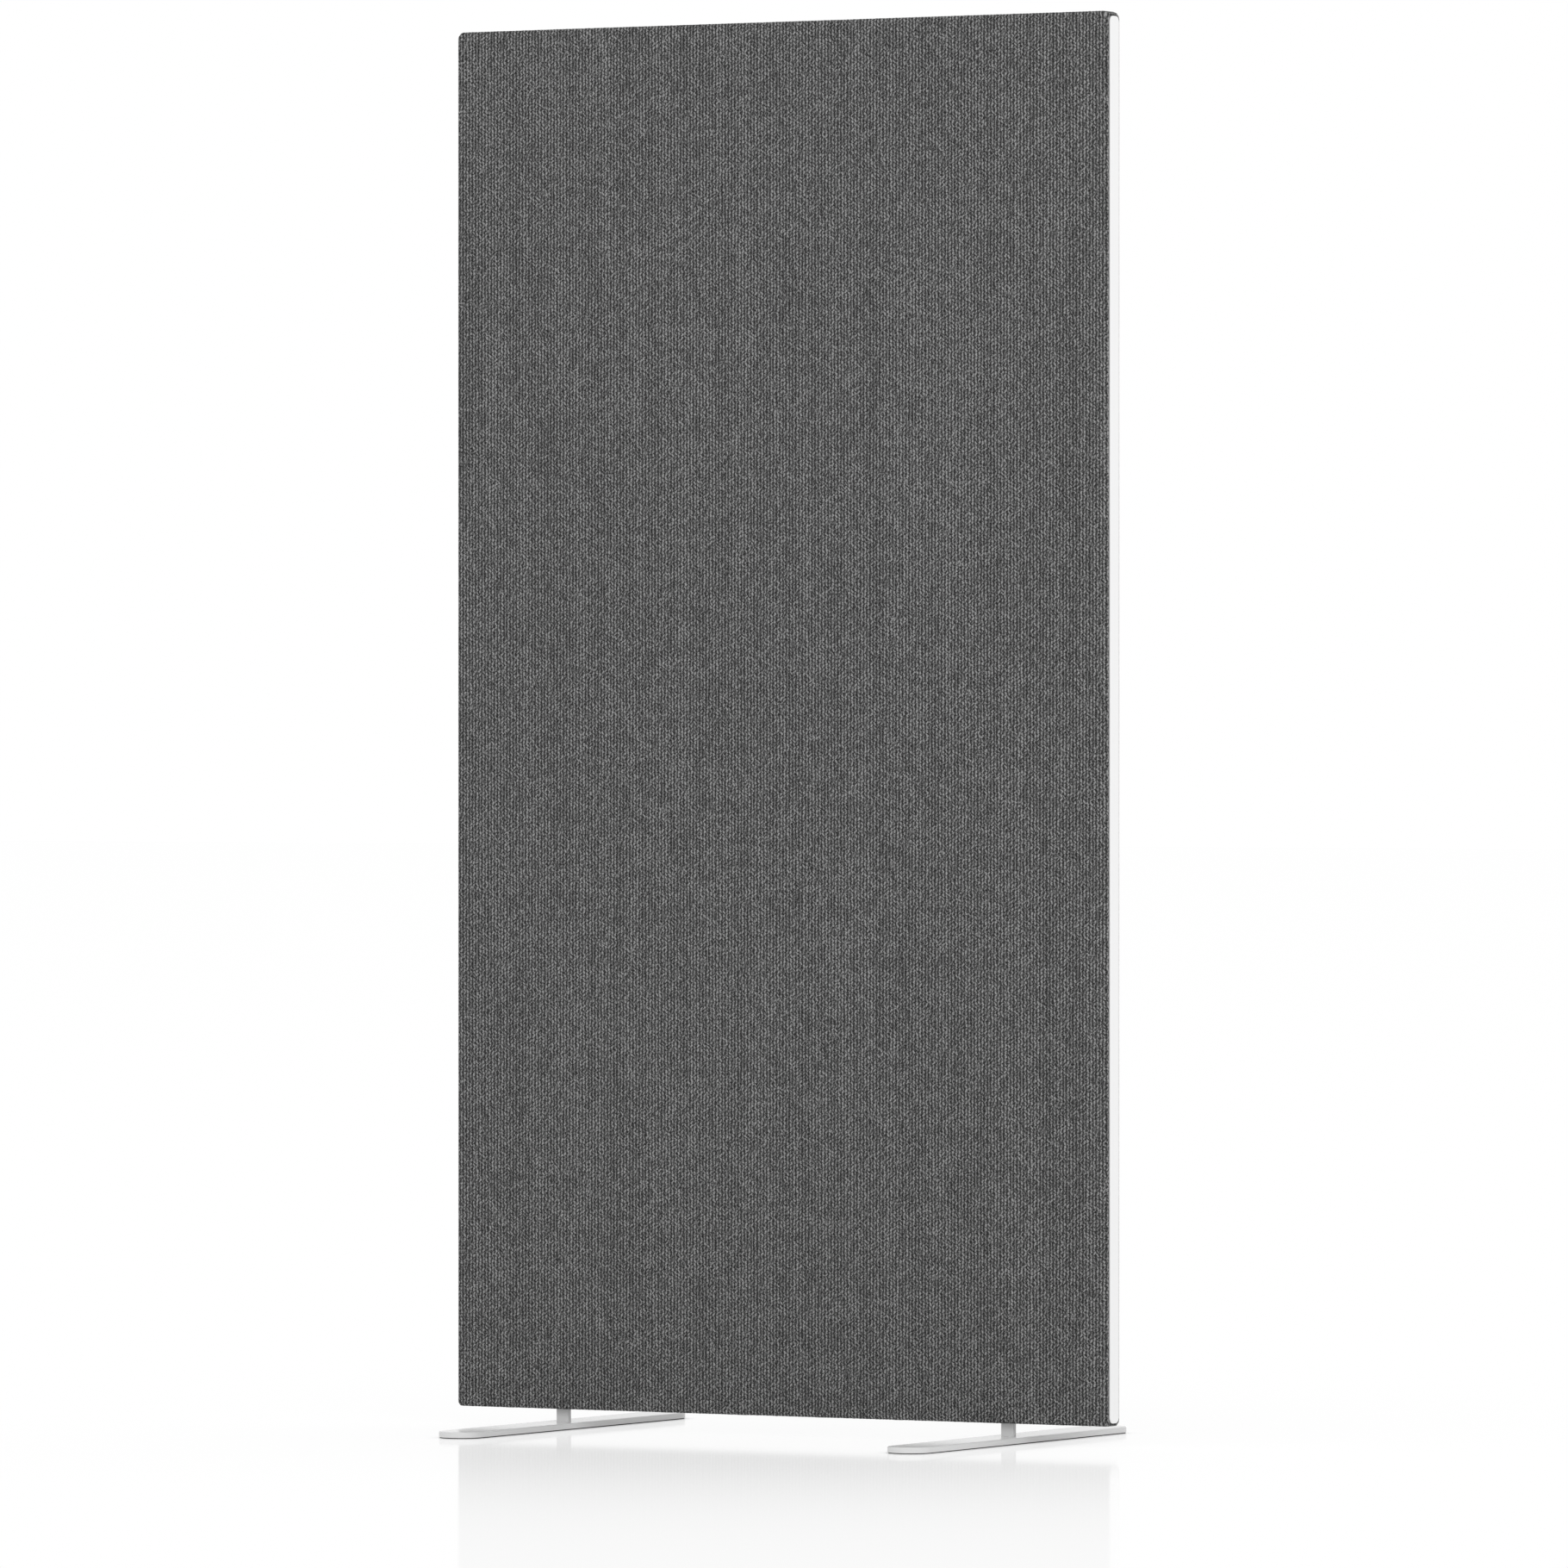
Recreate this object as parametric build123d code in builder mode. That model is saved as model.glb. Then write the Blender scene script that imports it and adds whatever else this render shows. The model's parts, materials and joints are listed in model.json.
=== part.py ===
from build123d import *
import os

# Office floor screen: a fabric-covered panel with a white strip down each side, on two flat steel feet.
# X runs along the panel, the front faces -Y, Z is up, and the floor is Z = 0 under the panel's centre.

# The whole screen
SCREEN_WIDTH = 800.0  # over the two edge strips
SCREEN_HEIGHT = 1500.0  # floor to the top of the cover
SCREEN_THICKNESS = 28.0  # over the cover
UNDER_GAP = 21.0  # floor to the underside of the cover
TOP_CORNER_RADIUS = 7.5  # seen from the front
BOTTOM_CORNER_RADIUS = 4.0
EDGE_RADIUS = 3.5  # where the front and the back turn over to the sides
CUT_OVERRUN = 2.0  # how far a cutting solid runs past the face that it opens

# Soft layers
COVER_THICKNESS = 1.0
FLEECE_THICKNESS = 1.3
SOFT_CLEARANCE = 0.2
HEM_DEPTH = 6.5  # how far the cover turns in beside the edge strip
COVER_JOINT_GAP = 2.0  # between the cover's two ends, under the bottom rail
CORE_JOINT_CLEARANCE = 0.3

# Edge strip, white plastic
STRIP_WIDTH = 19.0
STRIP_PROUD = 1.2  # beyond the cover's side
STRIP_TOP_MARGIN = 5.0
STRIP_BOTTOM_MARGIN = 3.0
STRIP_CORNER_RADIUS = 6.5
STRIP_EDGE_RADIUS = 0.6
LEG_THICKNESS = 1.2
LEG_LENGTH = 7.0
LEG_CLEARANCE = 0.2
BARB_REACH = 1.0
BARB_LENGTH = 3.0
BARB_PLAY = 0.3
LEG_END_CLEARANCE = 1.0

# Edge channel, extruded aluminium
CHANNEL_DEPTH = 10.0
CHANNEL_FLOOR = 1.5
CHANNEL_WALL = 1.2
CHANNEL_CORNER_RADIUS = 0.8
LIP_THICKNESS = 1.5
SLOT_WIDTH = 5.0
CAVITY_WIDTH = 7.4
KEDER_THICKNESS = 1.9
GROOVE_CLEARANCE = 0.1
GROOVE_END_CLEARANCE = 0.3

# Timber frame
STILE_WIDTH = 40.0
TOP_RAIL_HEIGHT = 40.0
BOTTOM_RAIL_HEIGHT = 45.0
MID_RAIL_HEIGHT = 30.0
LOWER_MID_RAIL_CENTRE = 520.0
UPPER_MID_RAIL_CENTRE = 1010.0
FRAME_ARRIS = 1.0  # the sawn timber's eased long edges
TENON_THICKNESS = 9.0
TENON_LENGTH = 25.0
TENON_HEIGHT_SHARE = 0.5  # of the rail's height
JOINT_CLEARANCE = 0.1
JOINT_END_CLEARANCE = 0.5

# Corner blocks, moulded plastic
SPIGOT_LENGTH = 10.0
SPIGOT_CLEARANCE = 0.2

# Feet
FOOT_LENGTH = 466.0
FOOT_WIDTH = 48.0
FOOT_THICKNESS = 6.0
FOOT_EDGE_RADIUS = 1.5
PAD_THICKNESS = 1.0
PAD_INSET = 1.0
PAD_HOLE_CLEARANCE = 0.8
POST_WIDTH = 15.0
POST_THICKNESS = 6.0
POST_ARRIS = 0.5
POST_SLIT_CLEARANCE = 0.2
BRACKET_LENGTH = 100.0
BRACKET_END_MARGIN = 24.6  # between the bracket and the stile, which sets the feet apart
BRACKET_WIDTH = 18.0
BRACKET_THICKNESS = 3.0
BRACKET_CORNER_RADIUS = 3.0
RECESS_CLEARANCE = 0.2

# Fasteners, all countersunk
COUNTERSINK_ANGLE = 90
CHANNEL_SCREW_DIAMETER = 3.5
CHANNEL_SCREW_HEAD = 6.0
CHANNEL_SCREW_LENGTH = 16.0
CHANNEL_SCREW_END_MARGIN = 60.0
CHANNEL_SCREW_COUNT = 4
BRACKET_SCREW_DIAMETER = 4.0
BRACKET_SCREW_HEAD = 8.0
BRACKET_SCREW_LENGTH = 25.0
BRACKET_SCREW_INNER_OFFSET = 22.0
BRACKET_SCREW_OUTER_OFFSET = 40.0
FOOT_SCREW_DIAMETER = 4.0
FOOT_SCREW_HEAD = 7.5
FOOT_SCREW_LENGTH = 14.0
FOOT_SCREW_SPACING = 8.5
FOOT_SCREW_POINT_LENGTH = 0.5
TAPPED_DEPTH = 11.0
SCREW_POINT_LENGTH = 4.0
SCREW_CLEARANCE = 0.1
STAPLE_CROWN = 10.0
STAPLE_LEG = 8.0
STAPLE_WIRE_WIDTH = 1.2
STAPLE_WIRE_THICKNESS = 0.6
STAPLE_ROW_OFFSET = 5.0
STAPLE_PITCH = 95.0
STAPLE_END_MARGIN = 10.0

# Places worked out from the sizes above
cover_side = SCREEN_WIDTH / 2 - STRIP_PROUD
skin = COVER_THICKNESS + SOFT_CLEARANCE
frame_side = cover_side - skin
frame_bottom = UNDER_GAP + skin
frame_top = SCREEN_HEIGHT - skin
frame_thickness = SCREEN_THICKNESS - 2 * (skin + FLEECE_THICKNESS)
strip_bottom = UNDER_GAP + STRIP_BOTTOM_MARGIN
strip_top = SCREEN_HEIGHT - STRIP_TOP_MARGIN
strip_height = strip_top - strip_bottom
strip_middle = (strip_top + strip_bottom) / 2
hem_floor = cover_side - HEM_DEPTH
channel_bottom = strip_bottom + STRIP_CORNER_RADIUS
channel_top = strip_top - STRIP_CORNER_RADIUS
channel_length = channel_top - channel_bottom
channel_back = frame_side - CHANNEL_DEPTH
cavity_top = frame_side - LIP_THICKNESS
cavity_floor = channel_back + CHANNEL_FLOOR
stile_inner = channel_back - STILE_WIDTH
rail_length = 2 * stile_inner
foot_top = PAD_THICKNESS + FOOT_THICKNESS
foot_x = stile_inner - BRACKET_END_MARGIN - BRACKET_LENGTH / 2

# Each rail's underside and height, from the bottom up
rail_places = {
    "bottom_rail": (frame_bottom, BOTTOM_RAIL_HEIGHT),
    "lower_mid_rail": (LOWER_MID_RAIL_CENTRE - MID_RAIL_HEIGHT / 2, MID_RAIL_HEIGHT),
    "upper_mid_rail": (UPPER_MID_RAIL_CENTRE - MID_RAIL_HEIGHT / 2, MID_RAIL_HEIGHT),
    "top_rail": (frame_top - TOP_RAIL_HEIGHT, TOP_RAIL_HEIGHT),
}
screw_pitch = (channel_length - 2 * CHANNEL_SCREW_END_MARGIN) / (CHANNEL_SCREW_COUNT - 1)
channel_screw_heights = [
    channel_bottom + CHANNEL_SCREW_END_MARGIN + n * screw_pitch for n in range(CHANNEL_SCREW_COUNT)
]
bracket_screw_offsets = [
    sign * offset for offset in (BRACKET_SCREW_INNER_OFFSET, BRACKET_SCREW_OUTER_OFFSET) for sign in (-1, 1)
]
bracket_inner_end = foot_x - BRACKET_LENGTH / 2
staple_count = int((bracket_inner_end - STAPLE_END_MARGIN) / STAPLE_PITCH + 1 / 2)
staple_distances = [STAPLE_PITCH * (n + 1 / 2) for n in range(staple_count)]
staple_distances.append(stile_inner - STAPLE_END_MARGIN)
staple_spots = [
    (side * distance, row * STAPLE_ROW_OFFSET)
    for distance in staple_distances
    for side in (-1, 1)
    for row in (-1, 1)
]


def panel_body(inset):
    """The panel's rounded outer form, drawn in by inset on every side."""
    half_width = cover_side - inset
    low = UNDER_GAP + inset
    high = SCREEN_HEIGHT - inset
    half_thickness = SCREEN_THICKNESS / 2 - inset
    with BuildPart() as body:
        with BuildSketch(Plane.XZ.offset(-half_thickness)):
            with Locations((0, (low + high) / 2)):
                Rectangle(2 * half_width, high - low)
            corners = vertices().group_by(Axis.Y)
            fillet(corners[-1], TOP_CORNER_RADIUS - inset)
            corners = vertices().group_by(Axis.Y)
            fillet(corners[0], BOTTOM_CORNER_RADIUS - inset)
        extrude(amount=2 * half_thickness)
        rims = faces().filter_by(Axis.Y).edges()
        fillet(rims, EDGE_RADIUS - inset)
    return body.part


def window_outline(growth, from_x, to_x):
    """A prism of the edge strip's outline, grown by growth all round, between two X planes."""
    with BuildPart() as prism:
        with BuildSketch(Plane.YZ.offset(from_x)):
            with Locations((0, strip_middle)):
                RectangleRounded(
                    STRIP_WIDTH + 2 * growth, strip_height + 2 * growth, STRIP_CORNER_RADIUS + growth
                )
        extrude(amount=to_x - from_x)
    return prism.part


def countersunk_screw(diameter, head, length, point):
    """A screw along +Z with its flat head at Z = 0 and its tip at Z = length."""
    radius = diameter / 2
    head_height = (head - diameter) / 2
    with BuildPart() as screw:
        with BuildSketch(Plane.XZ):
            with BuildLine():
                Polyline(
                    (0, 0),
                    (head / 2, 0),
                    (radius, head_height),
                    (radius, length - point),
                    (0, length),
                    close=True,
                )
            make_face()
        revolve(axis=Axis.Z)
    return screw.part


outer_body = panel_body(0)
lining_body = panel_body(COVER_THICKNESS)
padding_body = panel_body(skin)

strip_opening = window_outline(0, hem_floor, cover_side + CUT_OVERRUN)
hem_outer = window_outline(COVER_THICKNESS, hem_floor, cover_side + CUT_OVERRUN)
hem_groove_outer = window_outline(
    COVER_THICKNESS + SPIGOT_CLEARANCE, hem_floor - GROOVE_END_CLEARANCE, cover_side
)
hem_groove_inner = window_outline(-SPIGOT_CLEARANCE, hem_floor - GROOVE_END_CLEARANCE, cover_side)

# The cover's turned-in hem at the right-hand edge strip, trimmed to the panel's rounded form
with BuildPart() as hem:
    add(hem_outer)
    add(outer_body, mode=Mode.INTERSECT)
    add(strip_opening, mode=Mode.SUBTRACT)

# Fabric cover: one length round the front, top and back, its ends meeting under the bottom rail
with BuildPart() as cover:
    add(outer_body)
    add(lining_body, mode=Mode.SUBTRACT)
    add(strip_opening, mode=Mode.SUBTRACT)
    mirror(strip_opening, about=Plane.YZ, mode=Mode.SUBTRACT)
    add(hem.part)
    mirror(hem.part, about=Plane.YZ)
    with BuildSketch(Plane.XY.offset(UNDER_GAP)):
        Rectangle(2 * (cover_side - HEM_DEPTH - COVER_THICKNESS), COVER_JOINT_GAP)
        with Locations((-foot_x, 0), (foot_x, 0)):
            Rectangle(POST_WIDTH + 2 * POST_SLIT_CLEARANCE, POST_THICKNESS + 2 * POST_SLIT_CLEARANCE)
        leg_shift = (STAPLE_CROWN - STAPLE_WIRE_THICKNESS) / 2
        with Locations(*[(x + end * leg_shift, y) for x, y in staple_spots for end in (-1, 1)]):
            Rectangle(
                STAPLE_WIRE_THICKNESS + 2 * SCREW_CLEARANCE, STAPLE_WIRE_WIDTH + 2 * SCREW_CLEARANCE
            )
    extrude(amount=COVER_THICKNESS, mode=Mode.SUBTRACT)

# Fleece layers between the frame and the cover
with BuildPart() as front_fleece:
    add(padding_body)
    with BuildSketch(Plane.XY):
        with Locations((0, SCREEN_THICKNESS / 2 - frame_thickness / 2)):
            Rectangle(SCREEN_WIDTH, SCREEN_THICKNESS)
    extrude(amount=SCREEN_HEIGHT, mode=Mode.SUBTRACT)

with BuildPart() as rear_fleece:
    mirror(front_fleece.part, about=Plane.XZ)

# Edge channel: a snap slot for the strip's legs between two grooves for the cover's hems
groove_outer = STRIP_WIDTH / 2 + COVER_THICKNESS + GROOVE_CLEARANCE
groove_width = COVER_THICKNESS + KEDER_THICKNESS + 3 * GROOVE_CLEARANCE
groove_inner = groove_outer - groove_width
groove_middle = groove_outer - groove_width / 2
groove_floor = hem_floor - GROOVE_END_CLEARANCE
chamber_outer = groove_inner - CHANNEL_WALL
chamber_inner = CAVITY_WIDTH / 2 + CHANNEL_WALL
side_chamber_top = groove_floor - CHANNEL_WALL

with BuildPart() as edge_channel:
    with BuildSketch(Plane.XY.offset(channel_bottom)):
        with Locations((frame_side - CHANNEL_DEPTH / 2, 0)):
            Rectangle(CHANNEL_DEPTH, frame_thickness)
        fillet(vertices().group_by(Axis.X)[-1], CHANNEL_CORNER_RADIUS)
        with Locations((frame_side - LIP_THICKNESS / 2, 0)):
            Rectangle(LIP_THICKNESS, SLOT_WIDTH, mode=Mode.SUBTRACT)
        with Locations(((cavity_top + cavity_floor) / 2, 0)):
            Rectangle(cavity_top - cavity_floor, CAVITY_WIDTH, mode=Mode.SUBTRACT)
        for side in (-1, 1):
            with Locations(((frame_side + groove_floor) / 2, side * groove_middle)):
                Rectangle(frame_side - groove_floor, groove_width, mode=Mode.SUBTRACT)
            with Locations(
                ((cavity_top + cavity_floor) / 2, side * (chamber_inner + chamber_outer) / 2)
            ):
                Rectangle(cavity_top - cavity_floor, chamber_outer - chamber_inner, mode=Mode.SUBTRACT)
            with Locations(((side_chamber_top + cavity_floor) / 2, side * groove_middle)):
                Rectangle(side_chamber_top - cavity_floor, groove_width, mode=Mode.SUBTRACT)
    extrude(amount=channel_length)
    with Locations(*[Location((cavity_floor, 0, z), (0, 90, 0)) for z in channel_screw_heights]):
        CounterSinkHole(
            CHANNEL_SCREW_DIAMETER / 2 + SCREW_CLEARANCE,
            CHANNEL_SCREW_HEAD / 2 + SCREW_CLEARANCE,
            depth=CHANNEL_FLOOR,
            counter_sink_angle=COUNTERSINK_ANGLE,
        )

# Edge strip: a flat cap with rounded ends on two barbed legs that snap behind the slot's lips
leg_outer = SLOT_WIDTH / 2 - LEG_CLEARANCE
leg_end = frame_side - LEG_LENGTH
barb_shoulder = cavity_top - BARB_PLAY
leg_stop = SPIGOT_LENGTH + LEG_END_CLEARANCE

with BuildPart() as edge_strip:
    add(window_outline(0, frame_side, SCREEN_WIDTH / 2))
    fillet(faces().sort_by(Axis.X)[-1].edges(), STRIP_EDGE_RADIUS)
    with BuildSketch(Plane.XY.offset(channel_bottom + leg_stop)):
        with BuildLine():
            Polyline(
                (frame_side, leg_outer - LEG_THICKNESS),
                (leg_end, leg_outer - LEG_THICKNESS),
                (leg_end, leg_outer),
                (barb_shoulder - BARB_LENGTH, leg_outer),
                (barb_shoulder, leg_outer + BARB_REACH),
                (barb_shoulder, leg_outer),
                (frame_side, leg_outer),
                close=True,
            )
        make_face()
        mirror(about=Plane.XZ)
    extrude(amount=channel_length - 2 * leg_stop)

# Keder strips: flat tongues sewn to the hems, pushed with them into the grooves
with BuildPart() as front_keder:
    with BuildSketch(Plane.XY.offset(channel_bottom)):
        with Locations((frame_side - SOFT_CLEARANCE, groove_inner + GROOVE_CLEARANCE)):
            Rectangle(
                frame_side - SOFT_CLEARANCE - hem_floor, KEDER_THICKNESS, align=(Align.MAX, Align.MIN)
            )
        mirror(about=Plane.XZ, mode=Mode.REPLACE)
    extrude(amount=channel_length)

with BuildPart() as rear_keder:
    mirror(front_keder.part, about=Plane.XZ)


def corner_block(low, high, spigot_low, spigot_high):
    """A moulded block that carries the cover round a corner and plugs into the channel's cavity."""
    with BuildPart() as block:
        add(padding_body)
        with BuildSketch(Plane.XY.offset(low)):
            with Locations((channel_back, 0)):
                Rectangle(CHANNEL_DEPTH, frame_thickness, align=(Align.MIN, Align.CENTER))
        extrude(amount=high - low, mode=Mode.INTERSECT)
        add(hem_slot, mode=Mode.SUBTRACT)
        with BuildSketch(Plane.XY.offset(spigot_low)):
            with Locations(((cavity_top + cavity_floor) / 2, 0)):
                Rectangle(
                    cavity_top - cavity_floor - 2 * SPIGOT_CLEARANCE, CAVITY_WIDTH - 2 * SPIGOT_CLEARANCE
                )
        extrude(amount=spigot_high - spigot_low)
    return block


with BuildPart() as hem_slot_block:
    add(hem_groove_outer)
    add(hem_groove_inner, mode=Mode.SUBTRACT)
hem_slot = hem_slot_block.part

lower_corner_block = corner_block(
    frame_bottom, channel_bottom, channel_bottom, channel_bottom + SPIGOT_LENGTH
)
upper_corner_block = corner_block(channel_top, frame_top, channel_top - SPIGOT_LENGTH, channel_top)

# Timber stile, with blind mortises for the rails and pilot holes for the channel's screws
pilot_depth = CHANNEL_SCREW_LENGTH - CHANNEL_FLOOR + JOINT_END_CLEARANCE

with BuildPart() as stile:
    with BuildSketch(Plane.XY.offset(frame_bottom)):
        with Locations((channel_back, 0)):
            Rectangle(STILE_WIDTH, frame_thickness, align=(Align.MAX, Align.CENTER))
        chamfer(vertices().group_by(Axis.X)[0], FRAME_ARRIS)
    extrude(amount=frame_top - frame_bottom)
    chamfer(edges().filter_by(Axis.X), FRAME_ARRIS)
    with BuildSketch(Plane.YZ.offset(stile_inner)):
        for low, height in rail_places.values():
            with Locations((0, low + height / 2)):
                Rectangle(
                    TENON_THICKNESS + 2 * JOINT_CLEARANCE,
                    height * TENON_HEIGHT_SHARE + 2 * JOINT_CLEARANCE,
                )
    extrude(amount=TENON_LENGTH + JOINT_END_CLEARANCE, mode=Mode.SUBTRACT)
    with Locations(*[Location((channel_back, 0, z), (0, 90, 0)) for z in channel_screw_heights]):
        Hole(CHANNEL_SCREW_DIAMETER / 2 + SCREW_CLEARANCE, depth=pilot_depth)


def timber_rail(low, height):
    """A rail between the two stiles, with a stub tenon at each end."""
    with BuildPart() as rail:
        with BuildSketch(Plane.XY.offset(low)):
            Rectangle(rail_length, frame_thickness)
        extrude(amount=height)
        chamfer(edges().filter_by(Axis.X), FRAME_ARRIS)
        with BuildSketch(Plane.YZ.offset(-stile_inner - TENON_LENGTH)):
            with Locations((0, low + height / 2)):
                Rectangle(TENON_THICKNESS, height * TENON_HEIGHT_SHARE)
        extrude(amount=rail_length + 2 * TENON_LENGTH)
    return rail


rails = {name: timber_rail(low, height) for name, (low, height) in rail_places.items()}

# The bottom rail is also recessed for the two brackets and holds their screws and the staples
bracket_screw_depth = BRACKET_SCREW_LENGTH + JOINT_END_CLEARANCE
with BuildPart() as bottom_rail:
    add(rails["bottom_rail"].part)
    with BuildSketch(Plane.XY.offset(frame_bottom)):
        with Locations((-foot_x, 0), (foot_x, 0)):
            RectangleRounded(
                BRACKET_LENGTH + 2 * RECESS_CLEARANCE,
                BRACKET_WIDTH + 2 * RECESS_CLEARANCE,
                BRACKET_CORNER_RADIUS + RECESS_CLEARANCE,
            )
    extrude(amount=BRACKET_THICKNESS, mode=Mode.SUBTRACT)
    with BuildSketch(Plane.XY.offset(frame_bottom)):
        with Locations(*[(side * foot_x + x, 0) for side in (-1, 1) for x in bracket_screw_offsets]):
            Circle(BRACKET_SCREW_DIAMETER / 2 + SCREW_CLEARANCE)
    extrude(amount=bracket_screw_depth, mode=Mode.SUBTRACT)
    with BuildSketch(Plane.XY.offset(frame_bottom)):
        with Locations(*[(x + end * leg_shift, y) for x, y in staple_spots for end in (-1, 1)]):
            Rectangle(
                STAPLE_WIRE_THICKNESS + 2 * SCREW_CLEARANCE, STAPLE_WIRE_WIDTH + 2 * SCREW_CLEARANCE
            )
    extrude(amount=STAPLE_LEG, mode=Mode.SUBTRACT)
rails["bottom_rail"] = bottom_rail


def core_slab(low, high):
    """A felt slab that fills the frame between two rails."""
    with BuildPart() as slab:
        with BuildSketch(Plane.XY.offset(low + CORE_JOINT_CLEARANCE)):
            Rectangle(
                rail_length - 2 * CORE_JOINT_CLEARANCE, frame_thickness - 2 * SOFT_CLEARANCE
            )
        extrude(amount=high - low - 2 * CORE_JOINT_CLEARANCE)
    return slab


rail_list = list(rail_places.values())
core_names = ("lower_core_slab", "middle_core_slab", "upper_core_slab")
cores = {}
for name, (low, height), (next_low, next_height) in zip(core_names, rail_list, rail_list[1:]):
    cores[name] = core_slab(low + height, next_low)

# Screws that hold the edge channel to the stile
channel_screw = countersunk_screw(
    CHANNEL_SCREW_DIAMETER, CHANNEL_SCREW_HEAD, CHANNEL_SCREW_LENGTH, SCREW_POINT_LENGTH
)
with BuildPart() as channel_screws:
    with Locations(*[Location((cavity_floor, 0, z), (0, -90, 0)) for z in channel_screw_heights]):
        add(channel_screw)

# Post bracket: a flat bar under a plate that is let into the bottom rail
plate_bottom = frame_bottom
with BuildPart() as post_bracket:
    with BuildSketch(Plane.XY.offset(plate_bottom)):
        with Locations((foot_x, 0)):
            RectangleRounded(BRACKET_LENGTH, BRACKET_WIDTH, BRACKET_CORNER_RADIUS)
    extrude(amount=BRACKET_THICKNESS)
    with BuildSketch(Plane.XY.offset(foot_top)):
        with Locations((foot_x, 0)):
            Rectangle(POST_WIDTH, POST_THICKNESS)
        chamfer(vertices(), POST_ARRIS)
    extrude(amount=plate_bottom - foot_top)
    with Locations(*[Location((foot_x + x, 0, plate_bottom), (180, 0, 0)) for x in bracket_screw_offsets]):
        CounterSinkHole(
            BRACKET_SCREW_DIAMETER / 2 + SCREW_CLEARANCE,
            BRACKET_SCREW_HEAD / 2 + SCREW_CLEARANCE,
            depth=BRACKET_THICKNESS,
            counter_sink_angle=COUNTERSINK_ANGLE,
        )
    with BuildSketch(Plane.XY.offset(foot_top)):
        with Locations((foot_x, 0)):
            with GridLocations(FOOT_SCREW_SPACING, 0, 2, 1):
                Circle(FOOT_SCREW_DIAMETER / 2 + SCREW_CLEARANCE)
    extrude(amount=TAPPED_DEPTH, mode=Mode.SUBTRACT)

bracket_screw = countersunk_screw(
    BRACKET_SCREW_DIAMETER, BRACKET_SCREW_HEAD, BRACKET_SCREW_LENGTH, SCREW_POINT_LENGTH
)
with BuildPart() as bracket_screws:
    with Locations(*[(foot_x + x, 0, plate_bottom) for x in bracket_screw_offsets]):
        add(bracket_screw)

# Foot: a long flat bar with full round ends, on a rubber pad of the same outline
with BuildPart() as foot_plate:
    with BuildSketch(Plane.XY.offset(PAD_THICKNESS)):
        with Locations((foot_x, 0)):
            SlotOverall(FOOT_LENGTH, FOOT_WIDTH, rotation=90)
    extrude(amount=FOOT_THICKNESS)
    fillet(faces().sort_by(Axis.Z)[-1].edges(), FOOT_EDGE_RADIUS)
    foot_screw_spots = [
        Location((foot_x + side * FOOT_SCREW_SPACING / 2, 0, PAD_THICKNESS), (180, 0, 0)) for side in (-1, 1)
    ]
    with Locations(*foot_screw_spots):
        CounterSinkHole(
            FOOT_SCREW_DIAMETER / 2 + SCREW_CLEARANCE,
            FOOT_SCREW_HEAD / 2 + SCREW_CLEARANCE,
            depth=FOOT_THICKNESS,
            counter_sink_angle=COUNTERSINK_ANGLE,
        )

with BuildPart() as foot_pad:
    with BuildSketch(Plane.XY):
        with Locations((foot_x, 0)):
            SlotOverall(FOOT_LENGTH - 2 * PAD_INSET, FOOT_WIDTH - 2 * PAD_INSET, rotation=90)
            SlotCenterToCenter(
                FOOT_SCREW_SPACING, FOOT_SCREW_HEAD + 2 * PAD_HOLE_CLEARANCE, mode=Mode.SUBTRACT
            )
    extrude(amount=PAD_THICKNESS)

foot_screw = countersunk_screw(
    FOOT_SCREW_DIAMETER, FOOT_SCREW_HEAD, FOOT_SCREW_LENGTH, FOOT_SCREW_POINT_LENGTH
)
with BuildPart() as foot_screws:
    with Locations(*[(foot_x + side * FOOT_SCREW_SPACING / 2, 0, PAD_THICKNESS) for side in (-1, 1)]):
        add(foot_screw)

# Wire staples that hold the cover's ends to the bottom rail
with BuildPart() as cover_staples:
    with BuildSketch(Plane.XY.offset(UNDER_GAP - STAPLE_WIRE_THICKNESS)):
        with Locations(*staple_spots):
            Rectangle(STAPLE_CROWN, STAPLE_WIRE_WIDTH)
    extrude(amount=STAPLE_WIRE_THICKNESS)
    with BuildSketch(Plane.XY.offset(UNDER_GAP)):
        with Locations(*[(x + end * leg_shift, y) for x, y in staple_spots for end in (-1, 1)]):
            Rectangle(STAPLE_WIRE_THICKNESS, STAPLE_WIRE_WIDTH)
    extrude(amount=STAPLE_LEG)

single_pieces = {
    "cover": cover,
    "front_fleece": front_fleece,
    "rear_fleece": rear_fleece,
    "cover_staples": cover_staples,
    **rails,
    **cores,
}
handed_pieces = {
    "stile": stile,
    "edge_channel": edge_channel,
    "edge_strip": edge_strip,
    "front_keder": front_keder,
    "rear_keder": rear_keder,
    "channel_screws": channel_screws,
    "lower_corner_block": lower_corner_block,
    "upper_corner_block": upper_corner_block,
    "post_bracket": post_bracket,
    "bracket_screws": bracket_screws,
    "foot_plate": foot_plate,
    "foot_pad": foot_pad,
    "foot_screws": foot_screws,
}

os.makedirs("parts", exist_ok=True)

for name, piece in single_pieces.items():
    piece.part.label = name
    export_step(piece.part, f"parts/{name}.step")

for name, piece in handed_pieces.items():
    piece.part.label = f"{name}_right"
    export_step(piece.part, f"parts/{name}_right.step")
    with BuildPart() as left_piece:
        mirror(piece.part, about=Plane.YZ)
    left_piece.part.label = f"{name}_left"
    export_step(left_piece.part, f"parts/{name}_left.step")
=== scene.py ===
"""Looks of the office floor screen: ribbed charcoal cloth, white edge strips, flat light grey feet.

Lengths are in metres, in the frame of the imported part: X along the panel, the front faces -Y, Z up.
"""

import json
import logging
from dataclasses import dataclass
from enum import Enum
from typing import Any

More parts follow.
